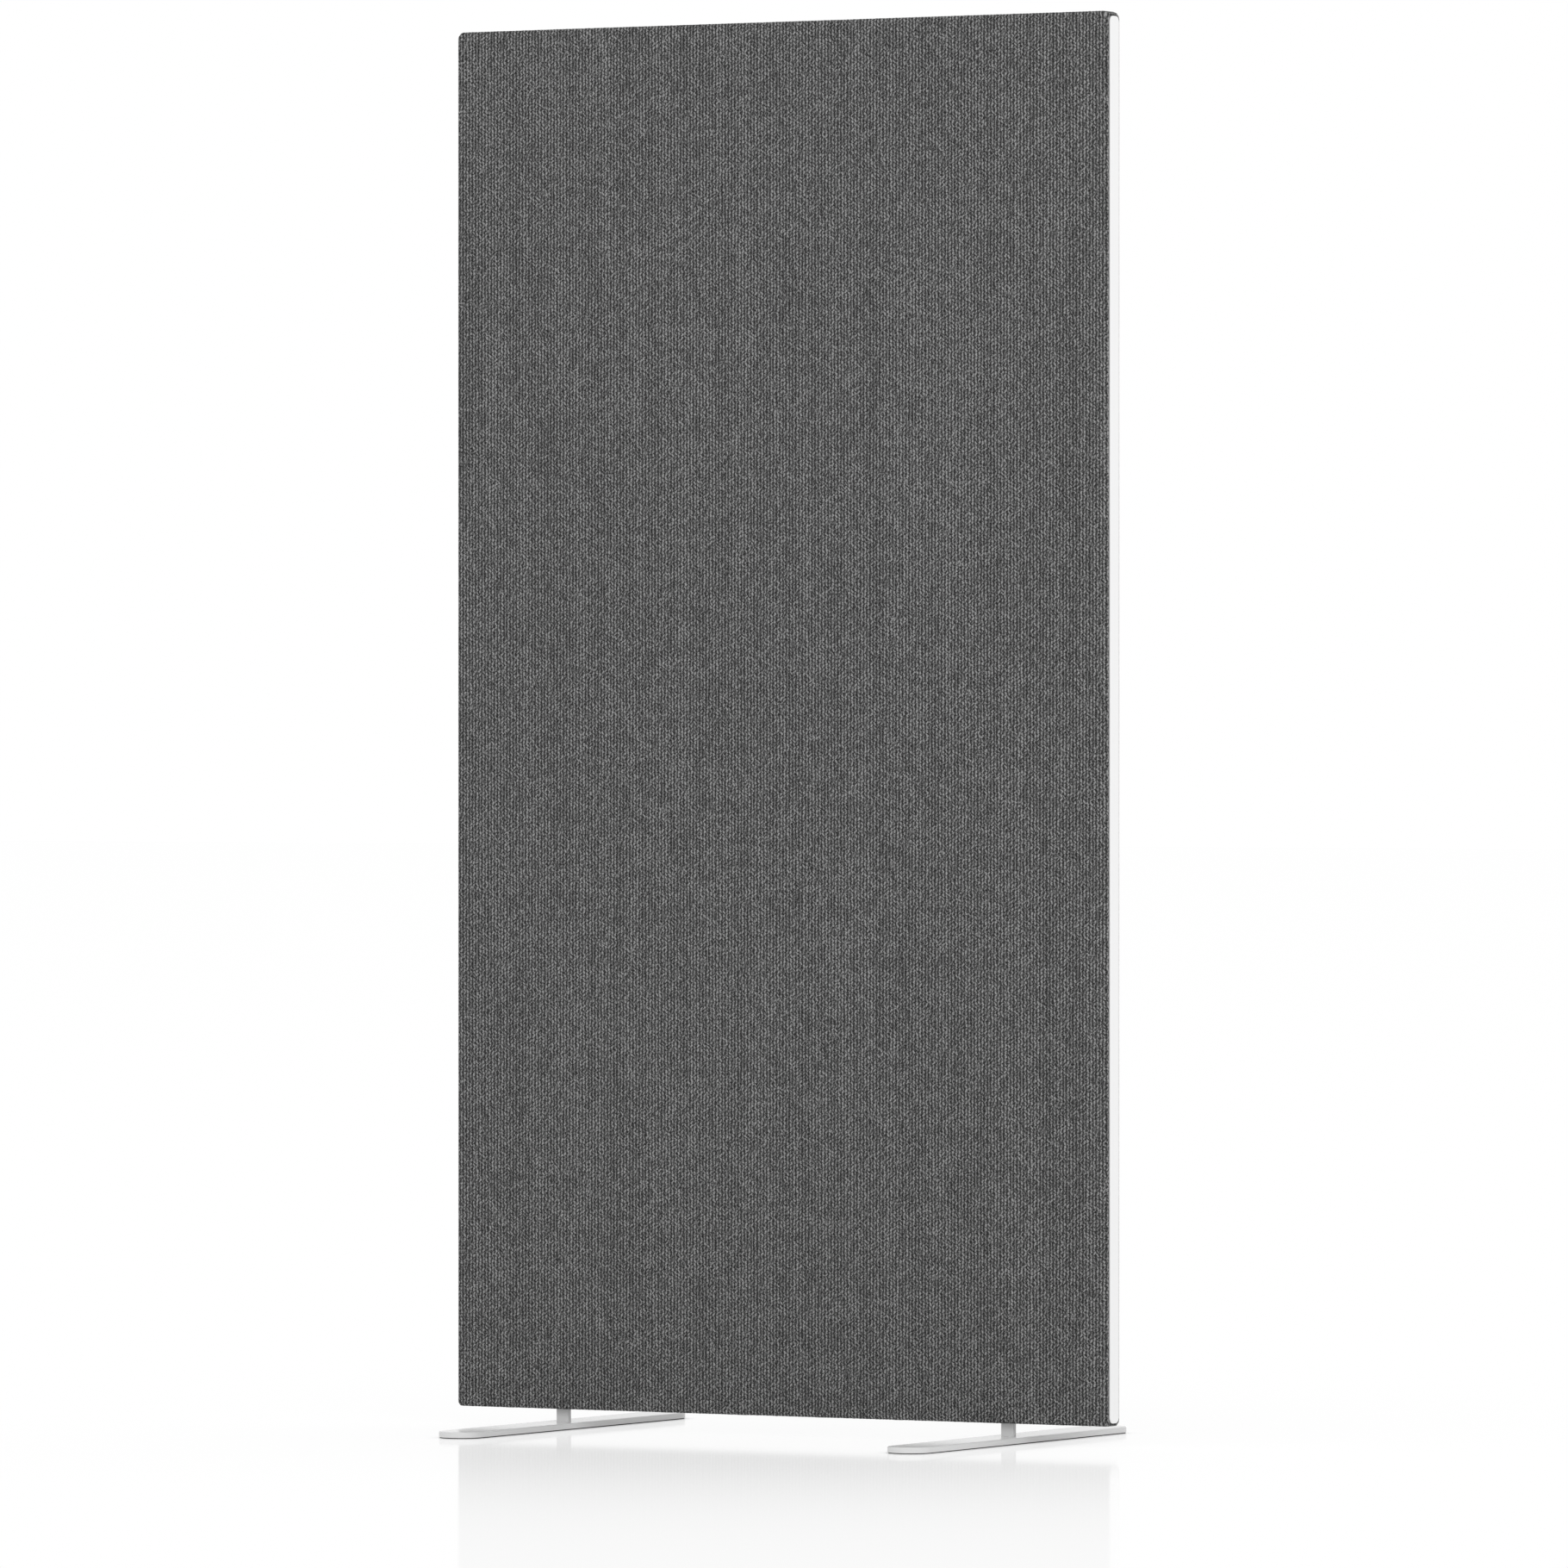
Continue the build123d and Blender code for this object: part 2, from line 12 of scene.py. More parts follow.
import bpy
import numpy as np
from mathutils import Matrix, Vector


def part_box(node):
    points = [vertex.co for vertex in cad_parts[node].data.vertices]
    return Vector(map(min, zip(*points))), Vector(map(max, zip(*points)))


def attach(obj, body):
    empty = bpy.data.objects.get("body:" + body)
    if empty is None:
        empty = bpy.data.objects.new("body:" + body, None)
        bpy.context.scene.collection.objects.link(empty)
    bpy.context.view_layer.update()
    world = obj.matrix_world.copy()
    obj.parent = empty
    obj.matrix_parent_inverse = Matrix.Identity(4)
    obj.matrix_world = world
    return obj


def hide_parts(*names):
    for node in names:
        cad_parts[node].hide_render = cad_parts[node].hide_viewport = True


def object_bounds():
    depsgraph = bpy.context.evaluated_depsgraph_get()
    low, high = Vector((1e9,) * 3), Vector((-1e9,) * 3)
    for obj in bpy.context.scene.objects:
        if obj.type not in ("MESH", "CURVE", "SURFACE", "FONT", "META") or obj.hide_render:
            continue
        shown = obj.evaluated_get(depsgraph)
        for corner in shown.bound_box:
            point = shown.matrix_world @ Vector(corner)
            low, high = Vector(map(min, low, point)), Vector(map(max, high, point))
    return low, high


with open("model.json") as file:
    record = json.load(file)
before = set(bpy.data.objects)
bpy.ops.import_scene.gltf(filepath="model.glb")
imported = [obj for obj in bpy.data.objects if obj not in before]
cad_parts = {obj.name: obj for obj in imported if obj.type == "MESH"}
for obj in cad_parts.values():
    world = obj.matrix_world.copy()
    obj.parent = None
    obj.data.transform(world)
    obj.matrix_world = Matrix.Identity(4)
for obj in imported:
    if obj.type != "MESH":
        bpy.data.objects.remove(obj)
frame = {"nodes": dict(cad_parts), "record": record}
CAD_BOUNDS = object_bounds()

LOG = logging.getLogger("floor_screen")
BODY = "root"
CLOTH_MAP = "cloth_metres"
WHITE = (1.0, 1.0, 1.0, 1.0)
ORIGIN = (0.0, 0.0, 0.0)
SOCKET_KINDS = {1: "Float", 3: "Vector", 4: "Color"}
QUARTER_TURN = np.pi / 2
TINY = 1e-12

Numbers = tuple[float, ...]
Socket = bpy.types.NodeSocket


class Side(Enum):
    """A side of the screen, with the sign of the axis that it lies along."""

    @property
    def word(self) -> str:
        """The side's word in the names of nodes."""
        return self.name.lower()


class End(Side):
    """The screen's two ends, along X."""

    RIGHT = 1
    LEFT = -1


class Face(Side):
    """The panel's two faces, along Y."""

    FRONT = -1
    REAR = 1


class Grain(Enum):
    """The axis that a piece's wood grain or extrusion lines run along."""

    ALONG_X = (1.0, 0.0, 0.0)
    ALONG_Z = (0.0, 0.0, 1.0)


class Effect(Enum):
    """The shader groups that the finishes share, by name."""

    SLUB_COLUMNS = "slub_columns"
    SPECKLE = "speckle"
    DRAWN_LINES = "drawn_lines"
    MATTED_FIBRES = "matted_fibres"

    @property
    def group(self) -> bpy.types.NodeTree:
        """The effect's node group, made when it is first asked for."""
        return bpy.data.node_groups.get(self.value) or EFFECT_MAKERS[self]()


# Shader trees


@dataclass
class ShaderTree:
    """Short calls for laying out the nodes of a material or a node group."""

    tree: bpy.types.NodeTree

    def feed(self, node: bpy.types.Node, values: dict[Any, Any]) -> None:
        """Fills a node's inputs. Colours get full cover.

        Args:
            node: the node.
            values: what each input, by name or number, holds or is joined to.
        """
        for key, value in values.items():
            socket = node.inputs[key]
            if isinstance(value, Socket):
                self.tree.links.new(value, socket)
            else:
                socket.default_value = (*value[:3], 1.0) if socket.type == "RGBA" else value

    def coat(self, values: dict[str, Any]) -> None:
        """Fills the inputs of the material's Principled BSDF."""
        self.feed(self.tree.nodes["Principled BSDF"], values)

    def add(self, kind: str, inputs: dict[Any, Any] | None = None, **settings: Any) -> bpy.types.Node:
        """Adds a node.

        Args:
            kind: the node's type, without the word ShaderNode.
            inputs: what each input, by name or number, holds or is joined to.
            settings: the node's properties.

        Returns:
            The new node.
        """
        node = self.tree.nodes.new(f"ShaderNode{kind}")
        for name, value in settings.items():
            setattr(node, name, value)
        self.feed(node, inputs or {})
        return node

    def place(self) -> Socket:
        """Gives the object's own coordinates."""
        return self.add("TexCoord").outputs["Object"]

    def math(self, operation: str, *values: Any, clamp: bool = False) -> Socket:
        """Does a sum on one to three values, kept from 0 to 1 if clamped."""
        return self.add("Math", dict(enumerate(values)), operation=operation, use_clamp=clamp).outputs[0]

    def times(self, first: Any, second: Any) -> Socket:
        """Multiplies two values."""
        return self.math("MULTIPLY", first, second)

    def line(self, value: Any, slope: Any, level: Any) -> Socket:
        """Multiplies a value by a slope and adds a level."""
        return self.math("MULTIPLY_ADD", value, slope, level)

    def centred(self, value: Any) -> Socket:
        """Moves a value that runs from 0 to 1 to lie about 0."""
        return self.math("SUBTRACT", value, 0.5)

    def ease(self, value: Any, *ends: Any) -> Socket:
        """Eases a value along an S from two ends to 0 and 1, or to the third and fourth end."""
        inputs = dict(enumerate((value, *ends)))
        return self.add("MapRange", inputs, interpolation_type="SMOOTHSTEP").outputs[0]

    def mix(self, share: Any, first: Any, second: Any, blend: str = "MIX") -> Socket:
        """Mixes two colours, with the share of the second."""
        inputs = {0: share, 6: first, 7: second}
        return self.add("Mix", inputs, data_type="RGBA", blend_type=blend).outputs[2]

    def mix_value(self, share: Any, first: Any, second: Any) -> Socket:
        """Mixes two numbers, with the share of the second."""
        return self.add("Mix", {0: share, 2: first, 3: second}, data_type="FLOAT").outputs[0]

    def noise(self, vector: Any, scale: Any, detail: float = 2.0, roughness: float = 0.5) -> Socket:
        """Gives a noise from 0 to 1 about 0.5, with lumps to the metre, octaves and their strength."""
        inputs = {"Vector": vector, "Scale": scale, "Detail": detail, "Roughness": roughness}
        return self.add("TexNoise", inputs).outputs["Fac"]

    def joined(self, *values: Any) -> Socket:
        """Joins up to three numbers to a vector."""
        return self.add("CombineXYZ", dict(enumerate(values))).outputs[0]

    def scaled(self, vector: Any, *factors: float) -> Socket:
        """Stretches coordinates by factors along X, Y and Z."""
        return self.add("Mapping", {"Vector": vector, "Scale": factors}).outputs[0]

    def bump(self, height: Any, depth: float, strength: float = 1.0) -> Socket:
        """Gives the normal of a relief, where a height of 1 stands out by the depth."""
        return self.add("Bump", {"Height": height, "Distance": depth, "Strength": strength}).outputs[0]


def node_group(
    effect: Effect, inputs: dict[str, Any], outputs: tuple[str, ...]
) -> tuple[ShaderTree, dict[str, Socket], bpy.types.Node]:
    """Makes an empty shader group with its sockets.

    Args:
        effect: what the group is for, which names it.
        inputs: each input's first value: a number, a vector of three or a colour of four.
        outputs: the outputs' names. Colour is a colour, and the others are numbers.

    Returns:
        The group's tree, its inputs as sockets to read, and its output node.
    """
    group = bpy.data.node_groups.new(effect.value, "ShaderNodeTree")
    for name, value in inputs.items():
        kind = f"NodeSocket{SOCKET_KINDS[np.size(value)]}"
        group.interface.new_socket(name=name, in_out="INPUT", socket_type=kind).default_value = value
    for name in outputs:
        kind = "NodeSocketColor" if name == "Colour" else "NodeSocketFloat"
        group.interface.new_socket(name=name, in_out="OUTPUT", socket_type=kind)
    given = {socket.name: socket for socket in group.nodes.new("NodeGroupInput").outputs if socket.name}
    return ShaderTree(group), given, group.nodes.new("NodeGroupOutput")


def make_slub_columns() -> bpy.types.NodeTree:
    """Makes the group that lays short light slubs end to end in upright columns.

    The vector counts columns along X and slubs along Y. Every second column is dropped by half a
    slub, and a slow noise stretches and squeezes the slubs. Each slub leans, shifts, swells and
    shines by random numbers drawn from its column and its place in the column, and a quicker noise
    makes the column zigzag. Across, a slub eases from a light core to dark. Towards its ends it
    narrows and dims a little. Here and there a column runs as one thin unbroken strand instead.

    Returns:
        The group, which puts out the slubs' light and their height.
    """
    stretch_rate, stretch, column_offset = 0.23, 1.2, 0.3
    zigzag_rate, zigzag_start, lean_reach, shift_reach = 2.3, 5.0, 1.1, 0.2
    narrowing, swell_reach, least_swell = -1.6, 0.5, 0.8
    shine_reach, least_shine, core_edge, end_edge = 0.45, 0.6, (1.0, 0.2), (0.5, 0.2, 0.45, 1.0)
    strand_spread, strand_rate, strand_rarity, strand_onset = 3.0, 0.07, 0.65, 0.02
    strand_zigzag, strand_edge, strand_light = 0.35, (0.2, 0.03), 0.35

    inputs = {"Vector": ORIGIN, "Seed": 0.0, "Core": 0.3}
    desk, given, output = node_group(Effect.SLUB_COLUMNS, inputs, ("Light", "Height"))
    across, along, _ = desk.add("SeparateXYZ", {0: given["Vector"]}).outputs
    column = desk.math("FLOOR", across)
    seeded = desk.math("ADD", column, given["Seed"])
    draw = desk.add("TexWhiteNoise", {"W": seeded}, noise_dimensions="1D").outputs["Value"]
    drop = desk.times(desk.math("FLOORED_MODULO", column, 2.0), 0.5)
    slow = desk.joined(seeded, desk.times(along, stretch_rate))
    wander = desk.times(desk.noise(slow, scale=1.0, detail=1.0), stretch)
    drift = desk.times(draw, column_offset)
    lifted = desk.math("ADD", desk.math("ADD", along, drop), desk.math("ADD", wander, drift))
    upright = desk.centred(desk.math("FRACT", lifted))
    cell = desk.joined(seeded, desk.math("FLOOR", lifted))
    draws = desk.add("TexWhiteNoise", {"Vector": cell}, noise_dimensions="2D").outputs["Color"]
    lean_draw, shift_draw, light_draw = desk.add("SeparateColor", {0: draws}).outputs
    quick = desk.joined(seeded, desk.times(along, zigzag_rate), zigzag_start)
    swing = desk.centred(desk.noise(quick, scale=1.0))
    shift = desk.line(desk.centred(shift_draw), shift_reach, swing)
    middle = desk.centred(desk.math("FRACT", across))
    lean = desk.times(desk.centred(lean_draw), lean_reach)
    offset = desk.line(upright, lean, desk.math("ADD", middle, shift))
    fullest = desk.line(light_draw, swell_reach, least_swell)
    swell = desk.line(desk.times(upright, upright), narrowing, fullest)
    reach = desk.math("DIVIDE", desk.math("ABSOLUTE", offset), desk.times(swell, given["Core"]))
    crown = desk.ease(reach, *core_edge)
    ends = desk.ease(desk.math("ABSOLUTE", upright), *end_edge)
    body = desk.times(desk.times(crown, ends), desk.line(light_draw, shine_reach, least_shine))
    far = desk.joined(desk.times(seeded, strand_spread), desk.times(along, strand_rate))
    rarity = desk.math("SUBTRACT", desk.noise(far, scale=1.0, detail=1.0), strand_rarity)
    strand = desk.math("ABSOLUTE", desk.line(swing, strand_zigzag, middle))
    thin = desk.times(desk.ease(strand, *strand_edge), desk.line(ends, strand_light, strand_light))
    light = desk.mix_value(desk.ease(rarity, 0.0, strand_onset), body, thin)
    desk.feed(output, {"Light": light, "Height": desk.times(crown, desk.line(ends, 0.5, 0.5))})
    return desk.tree


def make_speckle() -> bpy.types.NodeTree:
    """Makes the group that varies a plain surface a little, as moulding, paint or plating does.

    A fine noise gives the grain and a coarse one the patches. The colour and the roughness move
    about their middle by the grain and the patches together.

    Returns:
        The group, which puts out a colour, a roughness and a height.
    """
    inputs = {
        "Vector": ORIGIN, "Colour": WHITE, "Colour Spread": 0.05, "Roughness": 0.5,
        "Roughness Spread": 0.1, "Grain Scale": 1000.0, "Patch Scale": 12.0,
    }
    desk, given, output = node_group(Effect.SPECKLE, inputs, ("Colour", "Roughness", "Height"))
    grain = desk.noise(given["Vector"], given["Grain Scale"])
    patches = desk.noise(given["Vector"], given["Patch Scale"], detail=4.0)
    sway = desk.math("SUBTRACT", desk.math("ADD", grain, patches), 1.0)
    shade = desk.line(sway, given["Colour Spread"], 1.0)
    tinted = desk.mix(1.0, given["Colour"], desk.joined(shade, shade, shade), "MULTIPLY")
    rough = desk.line(sway, given["Roughness Spread"], given["Roughness"])
    desk.feed(output, {"Colour": tinted, "Roughness": rough, "Height": grain})
    return desk.tree


def make_drawn_lines() -> bpy.types.NodeTree:
    """Makes the group of long fine lines that extruding, rolling or sawing leaves.

    Noise is read on coordinates squeezed along the lines, so its lumps become streaks.

    Returns:
        The group, which puts out the lines as a value and a height.
    """
    squeeze_share, line_edge = 0.985, (0.3, 0.7)
    inputs = {"Vector": ORIGIN, "Along": Grain.ALONG_Z.value, "Scale": 900.0}
    desk, given, output = node_group(Effect.DRAWN_LINES, inputs, ("Lines", "Height"))
    vector, along = given["Vector"], given["Along"]
    onto = desk.add("VectorMath", {0: vector, 1: along}, operation="DOT_PRODUCT").outputs["Value"]
    back = {0: along, "Scale": desk.times(onto, -squeeze_share)}
    carried = desk.add("VectorMath", back, operation="SCALE").outputs[0]
    squeezed = desk.add("VectorMath", {0: vector, 1: carried}, operation="ADD").outputs[0]
    lines = desk.noise(squeezed, given["Scale"], detail=3.0, roughness=0.6)
    desk.feed(output, {"Lines": desk.ease(lines, *line_edge), "Height": lines})
    return desk.tree


def make_matted_fibres() -> bpy.types.NodeTree:
    """Makes the group of matted fibres of needled fleece and pressed felt.

    Two warped wave bands at odds give short curling fibres, and a noise gives the denser lumps.

    Returns:
        The group, which puts out the fibres and the lumps, each as a value from 0 to 1.
    """
    twists, fibre_edge, lump_scale = {"X": 14.0, "DIAGONAL": 21.0}, (0.55, 0.95), 90.0
    inputs = {"Vector": ORIGIN, "Scale": 500.0}
    desk, given, output = node_group(Effect.MATTED_FIBRES, inputs, ("Fibres", "Lumps"))
    bands = []
    for direction, twist in twists.items():
        curls = {**given, "Distortion": twist, "Detail": 2.0, "Detail Scale": 1.6}
        wave = desk.add("TexWave", curls, bands_direction=direction)
        bands.append(desk.ease(wave.outputs["Fac"], *fibre_edge))
    lumps = desk.noise(given["Vector"], lump_scale, detail=3.0)
    desk.feed(output, {"Fibres": desk.math("MAXIMUM", *bands), "Lumps": lumps})
    return desk.tree


EFFECT_MAKERS = {
    Effect.SLUB_COLUMNS: make_slub_columns,
    Effect.SPECKLE: make_speckle,
    Effect.DRAWN_LINES: make_drawn_lines,
    Effect.MATTED_FIBRES: make_matted_fibres,
}


# Finishes


def grey(level: float) -> Numbers:
    """Gives a neutral colour."""
    return (level, level, level)


@dataclass(frozen=True)
class Finish:
    """What every finish has: a name, a main colour, how rough it is and how it shines."""

    name: str
    colour: Numbers
    roughness: float
    metallic: float = 0.0
    specular_level: float = 0.5

    def material(self) -> bpy.types.Material:
        """Gives the finish's material, made when it is first asked for.

        Returns:
            The material.
        """
        found = bpy.data.materials.get(self.name)
        if found is not None:
            return found
        made = bpy.data.materials.new(self.name)
        made.use_nodes = True
        made.diffuse_color = (*self.colour, 1.0)
        desk = ShaderTree(made.node_tree)
        desk.coat({
            "Base Color": self.colour, "Roughness": self.roughness,
            "Metallic": self.metallic, "Specular IOR Level": self.specular_level,
        })
        self.paint(desk)
        return made

    def paint(self, desk: ShaderTree) -> None:
        """Lays the finish's nodes and joins them to its surface shader."""
        raise NotImplementedError


@dataclass(frozen=True)
class RibbedCloth(Finish):
    """Charcoal upholstery cloth with upright ribs of short light slubs on dark ground yarn.

    A noise is given as its squeeze along the ribs, its lumps to the metre, its octaves and their
    strength, a layer as its seed and its slubs' half width, and a range as for ease.
    """

    specular_level: float = 0.15
    rib_pitch: float = 0.0039417
    slub_length: float = 0.00406
    ground_colour: Numbers = grey(0.012)
    slub_colour: Numbers = grey(0.31)
    slub_gain: float = 0.92
    slub_depth: float = 0.0004
    slub_relief: float = 0.5
    rib_layer: Numbers = (0.0, 0.34)
    stray_layer: Numbers = (41.0, 0.36)
    stray_turn: float = 0.45
    stray_light: float = 0.8
    patch_noise: Numbers = (0.45, 170.0, 2.0, 0.6)
    patch_range: Numbers = (0.53, 0.66, 0.0, 0.8)
    tuft_noise: Numbers = (1.0, 760.0, 1.0, 0.6)
    tuft_range: Numbers = (0.3, 0.7, 0.45, 1.45)
    fibre_noise: Numbers = (0.35, 2600.0, 2.0, 0.7)
    fibre_range: Numbers = (0.25, 0.75, 0.75, 1.25)
    fibre_height: float = 0.12
    bridges_per_slub: Numbers = (4.0, 2.2, 1.0)
    bridge_range: Numbers = (0.4, 0.75, 0.0, 0.34)
    band_noise: Numbers = (0.025, 60.0, 2.0, 0.6)
    band_reach: float = 0.65
    band_level: float = 0.665
    sheen: float = 0.05
    sheen_roughness: float = 0.5

    def paint(self, desk: ShaderTree) -> None:
        """Lays two layers of slubs, the second turned and only in patches, with fibres on both.

        Args:
            desk: the material's tree.
        """
        cloth = desk.add("UVMap", uv_map=CLOTH_MAP).outputs[0]
        counts = desk.scaled(cloth, 1 / self.rib_pitch, 1 / self.slub_length, 1.0)
        turned = desk.add("Mapping", {"Vector": counts, "Rotation": (0.0, 0.0, self.stray_turn)}).outputs[0]
        ribs, strays = (
            desk.add("Group", {"Vector": at, "Seed": seed, "Core": core}, node_tree=Effect.SLUB_COLUMNS.group)
            for at, (seed, core) in ((counts, self.rib_layer), (turned, self.stray_layer))
        )
        patches, tufts, fibres, bands = (
            desk.noise(desk.scaled(cloth, 1.0, squeeze, 1.0), *noise)
            for squeeze, *noise in (self.patch_noise, self.tuft_noise, self.fibre_noise, self.band_noise)
        )
        stray = desk.times(strays.outputs["Light"], self.stray_light)
        light = desk.mix_value(desk.ease(patches, *self.patch_range), ribs.outputs["Light"], stray)
        uneven = desk.times(desk.ease(tufts, *self.tuft_range), desk.ease(fibres, *self.fibre_range))
        bridges = desk.noise(desk.scaled(turned, *self.bridges_per_slub), scale=1.0, detail=1.0)
        base = desk.ease(bridges, *self.bridge_range)
        shown = desk.line(desk.times(light, uneven), self.slub_gain, base)
        banding = desk.line(bands, self.band_reach, self.band_level)
        shown = desk.math("MULTIPLY", shown, banding, clamp=True)
        height = desk.line(fibres, self.fibre_height, ribs.outputs["Height"])
        desk.coat({
            "Base Color": desk.mix(shown, self.ground_colour, self.slub_colour),
            "Normal": desk.bump(height, self.slub_depth, self.slub_relief),
            "Sheen Weight": self.sheen, "Sheen Roughness": self.sheen_roughness,
        })


@dataclass(frozen=True)
class SpeckledFinish(Finish):
    """Moulded plastic, paint, plating or rubber: a plain colour with fine grain and soft patches."""

    colour_spread: float = 0.05
    roughness_spread: float = 0.12
    grain_scale: float = 900.0
    patch_scale: float = 9.0
    grain_depth: float = 0.00003

    def paint(self, desk: ShaderTree) -> None:
        """Joins the speckle group to the surface's colour, roughness and normal.

        Args:
            desk: the material's tree.
        """
        colour, roughness, height = desk.add("Group", {
            "Vector": desk.place(), "Colour": self.colour, "Colour Spread": self.colour_spread,
            "Roughness": self.roughness, "Roughness Spread": self.roughness_spread,
            "Grain Scale": self.grain_scale, "Patch Scale": self.patch_scale,
        }, node_tree=Effect.SPECKLE.group).outputs
        normal = desk.bump(height, self.grain_depth)
        desk.coat({"Base Color": colour, "Roughness": roughness, "Normal": normal})


@dataclass(frozen=True)
class DrawnFinish(Finish):
    """Extruded or rolled stock: a plain colour with long fine lines along one axis."""

    grain: Grain = Grain.ALONG_Z
    line_colour: Numbers = grey(0.5)
    line_share: float = 1.0
    line_scale: float = 900.0
    line_depth: float = 0.00002
    roughness_shares: Numbers = (0.85, 1.15)

    def ground(self, desk: ShaderTree) -> Any:
        """Gives the colour under the lines."""
        return self.colour

    def paint(self, desk: ShaderTree) -> None:
        """Shades the colour and the roughness by the lines and raises them a little.

        Args:
            desk: the material's tree.
        """
        inputs = {"Vector": desk.place(), "Along": self.grain.value, "Scale": self.line_scale}
        lines, height = desk.add("Group", inputs, node_tree=Effect.DRAWN_LINES.group).outputs
        share = desk.times(lines, self.line_share)
        roughness = (self.roughness * part for part in self.roughness_shares)
        desk.coat({
            "Base Color": desk.mix(share, self.ground(desk), self.line_colour),
            "Roughness": desk.ease(lines, 0.0, 1.0, *roughness),
            "Normal": desk.bump(height, self.line_depth),
        })


@dataclass(frozen=True)
class PlanedPine(DrawnFinish):
    """Planed pine: pale early wood and browner late wood in wavering bands, with fine pores."""

    line_colour: Numbers = (0.5, 0.34, 0.18)
    line_share: float = 0.25
    line_scale: float = 700.0
    roughness_shares: Numbers = (11 / 12, 7 / 6)
    late_wood: Numbers = (0.42, 0.25, 0.12)
    late_edge: Numbers = (0.55, 1.0)
    late_share: float = 0.75
    band_scale: float = 34.0
    band_squeeze: float = 0.06
    rings_per_band: float = 9.0

    def ground(self, desk: ShaderTree) -> Any:
        """Lays growth bands: rings cut from a slow noise that is stretched along the grain.

        Args:
            desk: the material's tree.

        Returns:
            The wood's colour.
        """
        squeeze = (self.band_squeeze if axis else 1.0 for axis in self.grain.value)
        slow = desk.noise(desk.scaled(desk.place(), *squeeze), self.band_scale, detail=1.0)
        rings = desk.math("FRACT", desk.times(slow, self.rings_per_band))
        late = desk.times(desk.ease(rings, *self.late_edge), self.late_share)
        return desk.mix(late, self.colour, self.late_wood)


@dataclass(frozen=True)
class MattedFinish(Finish):
    """Fleece or felt: matted fibres lighter than the ground, with denser lumps."""

    specular_level: float = 0.1
    fibre_colour: Numbers = grey(1.0)
    fibre_scale: float = 420.0
    fibre_share: float = 0.5
    lump_share: float = 0.4
    fibre_depth: float = 0.0003
    fibre_relief: float = 0.7

    def paint(self, desk: ShaderTree) -> None:
        """Colours and raises the fibres over the ground.

        Args:
            desk: the material's tree.
        """
        inputs = {"Vector": desk.place(), "Scale": self.fibre_scale}
        fibres, lumps = desk.add("Group", inputs, node_tree=Effect.MATTED_FIBRES.group).outputs
        share = desk.line(fibres, self.fibre_share, desk.times(lumps, self.lump_share))
        height = desk.math("ADD", fibres, lumps)
        desk.coat({
            "Base Color": desk.mix(share, self.colour, self.fibre_colour),
            "Normal": desk.bump(height, self.fibre_depth, self.fibre_relief),
        })


CLOTH = RibbedCloth("ribbed_cloth", grey(0.1), 0.95)
PINE = {
    grain: PlanedPine(f"pine_{grain.name.lower()}", (0.72, 0.55, 0.36), 0.6, grain=grain) for grain in Grain
}

# The record's material slots and the finish that dresses each
FINISHES: dict[str, Finish] = {
    "cover_fabric": CLOTH,
    "fleece": MattedFinish("needled_fleece", (0.74, 0.74, 0.72), 0.95, fibre_colour=(0.86, 0.86, 0.84)),
    "core_felt": MattedFinish("pressed_felt", (0.3, 0.3, 0.31), 0.95, fibre_colour=(0.46, 0.46, 0.47)),
    "pine": PINE[Grain.ALONG_X],
    "channel_aluminium": DrawnFinish(
        "mill_aluminium", (0.75, 0.76, 0.77), 0.35, metallic=1.0, line_colour=(0.66, 0.67, 0.68)
    ),
    "white_plastic": DrawnFinish(
        "extruded_white_plastic", grey(0.845), 0.42,
        line_colour=grey(0.86), line_scale=500.0, line_depth=0.000008,
    ),
    "keder_plastic": SpeckledFinish("keder_plastic", (0.7, 0.7, 0.68), 0.5),
    "block_plastic": SpeckledFinish(
        "moulded_black_plastic", grey(0.12), 0.55, grain_scale=1600.0, grain_depth=0.00005
    ),
    "powder_coat": SpeckledFinish(
        "grey_powder_coat", grey(0.69), 0.11, specular_level=0.08, colour_spread=0.03,
        roughness_spread=0.03, grain_scale=1300.0, grain_depth=0.000002,
    ),
    "zinc_plate": SpeckledFinish(
        "zinc_plate", (0.62, 0.62, 0.6), 0.38, metallic=1.0, colour_spread=0.25, patch_scale=60.0
    ),
    "pad_rubber": SpeckledFinish(
        "matt_black_rubber", grey(0.04), 0.85, colour_spread=0.3, grain_scale=2200.0
    ),
}


# Meshes


def quads(number: np.ndarray) -> np.ndarray:
    """Gives the quads between the neighbours in a table of vertex numbers, one for each row."""
    corners = (number[:-1, :-1], number[1:, :-1], number[1:, 1:], number[:-1, 1:])
    return np.stack(corners, axis=-1).reshape(-1, 4)


def unit(vectors: np.ndarray) -> np.ndarray:
    """Divides vectors by their lengths."""
    return vectors / np.linalg.norm(vectors, axis=-1, keepdims=True).clip(TINY)


def travelled(path: np.ndarray) -> np.ndarray:
    """Gives the way from a path's first point to each, as the sum of the steps between them."""
    return np.cumsum(np.linalg.norm(np.diff(path, axis=0, prepend=path[:1]), axis=-1))


def rounded_edge(radius: float, steps: int = 8) -> np.ndarray:
    """Gives a quarter circle from a wall to a face, as rows of how far in and how far below."""
    turn = np.linspace(0, QUARTER_TURN, steps + 1)
    return radius * np.stack([1 - np.cos(turn), np.sin(turn) - 1], axis=-1)


def put(name: str, data: bpy.types.ID) -> bpy.types.Object:
    """Makes an object and puts it in the scene.

    Args:
        name: the object's name.
        data: its mesh, lamp or camera.

    Returns:
        The object.
    """
    made = bpy.data.objects.new(name, data)
    bpy.context.scene.collection.objects.link(made)
    return made


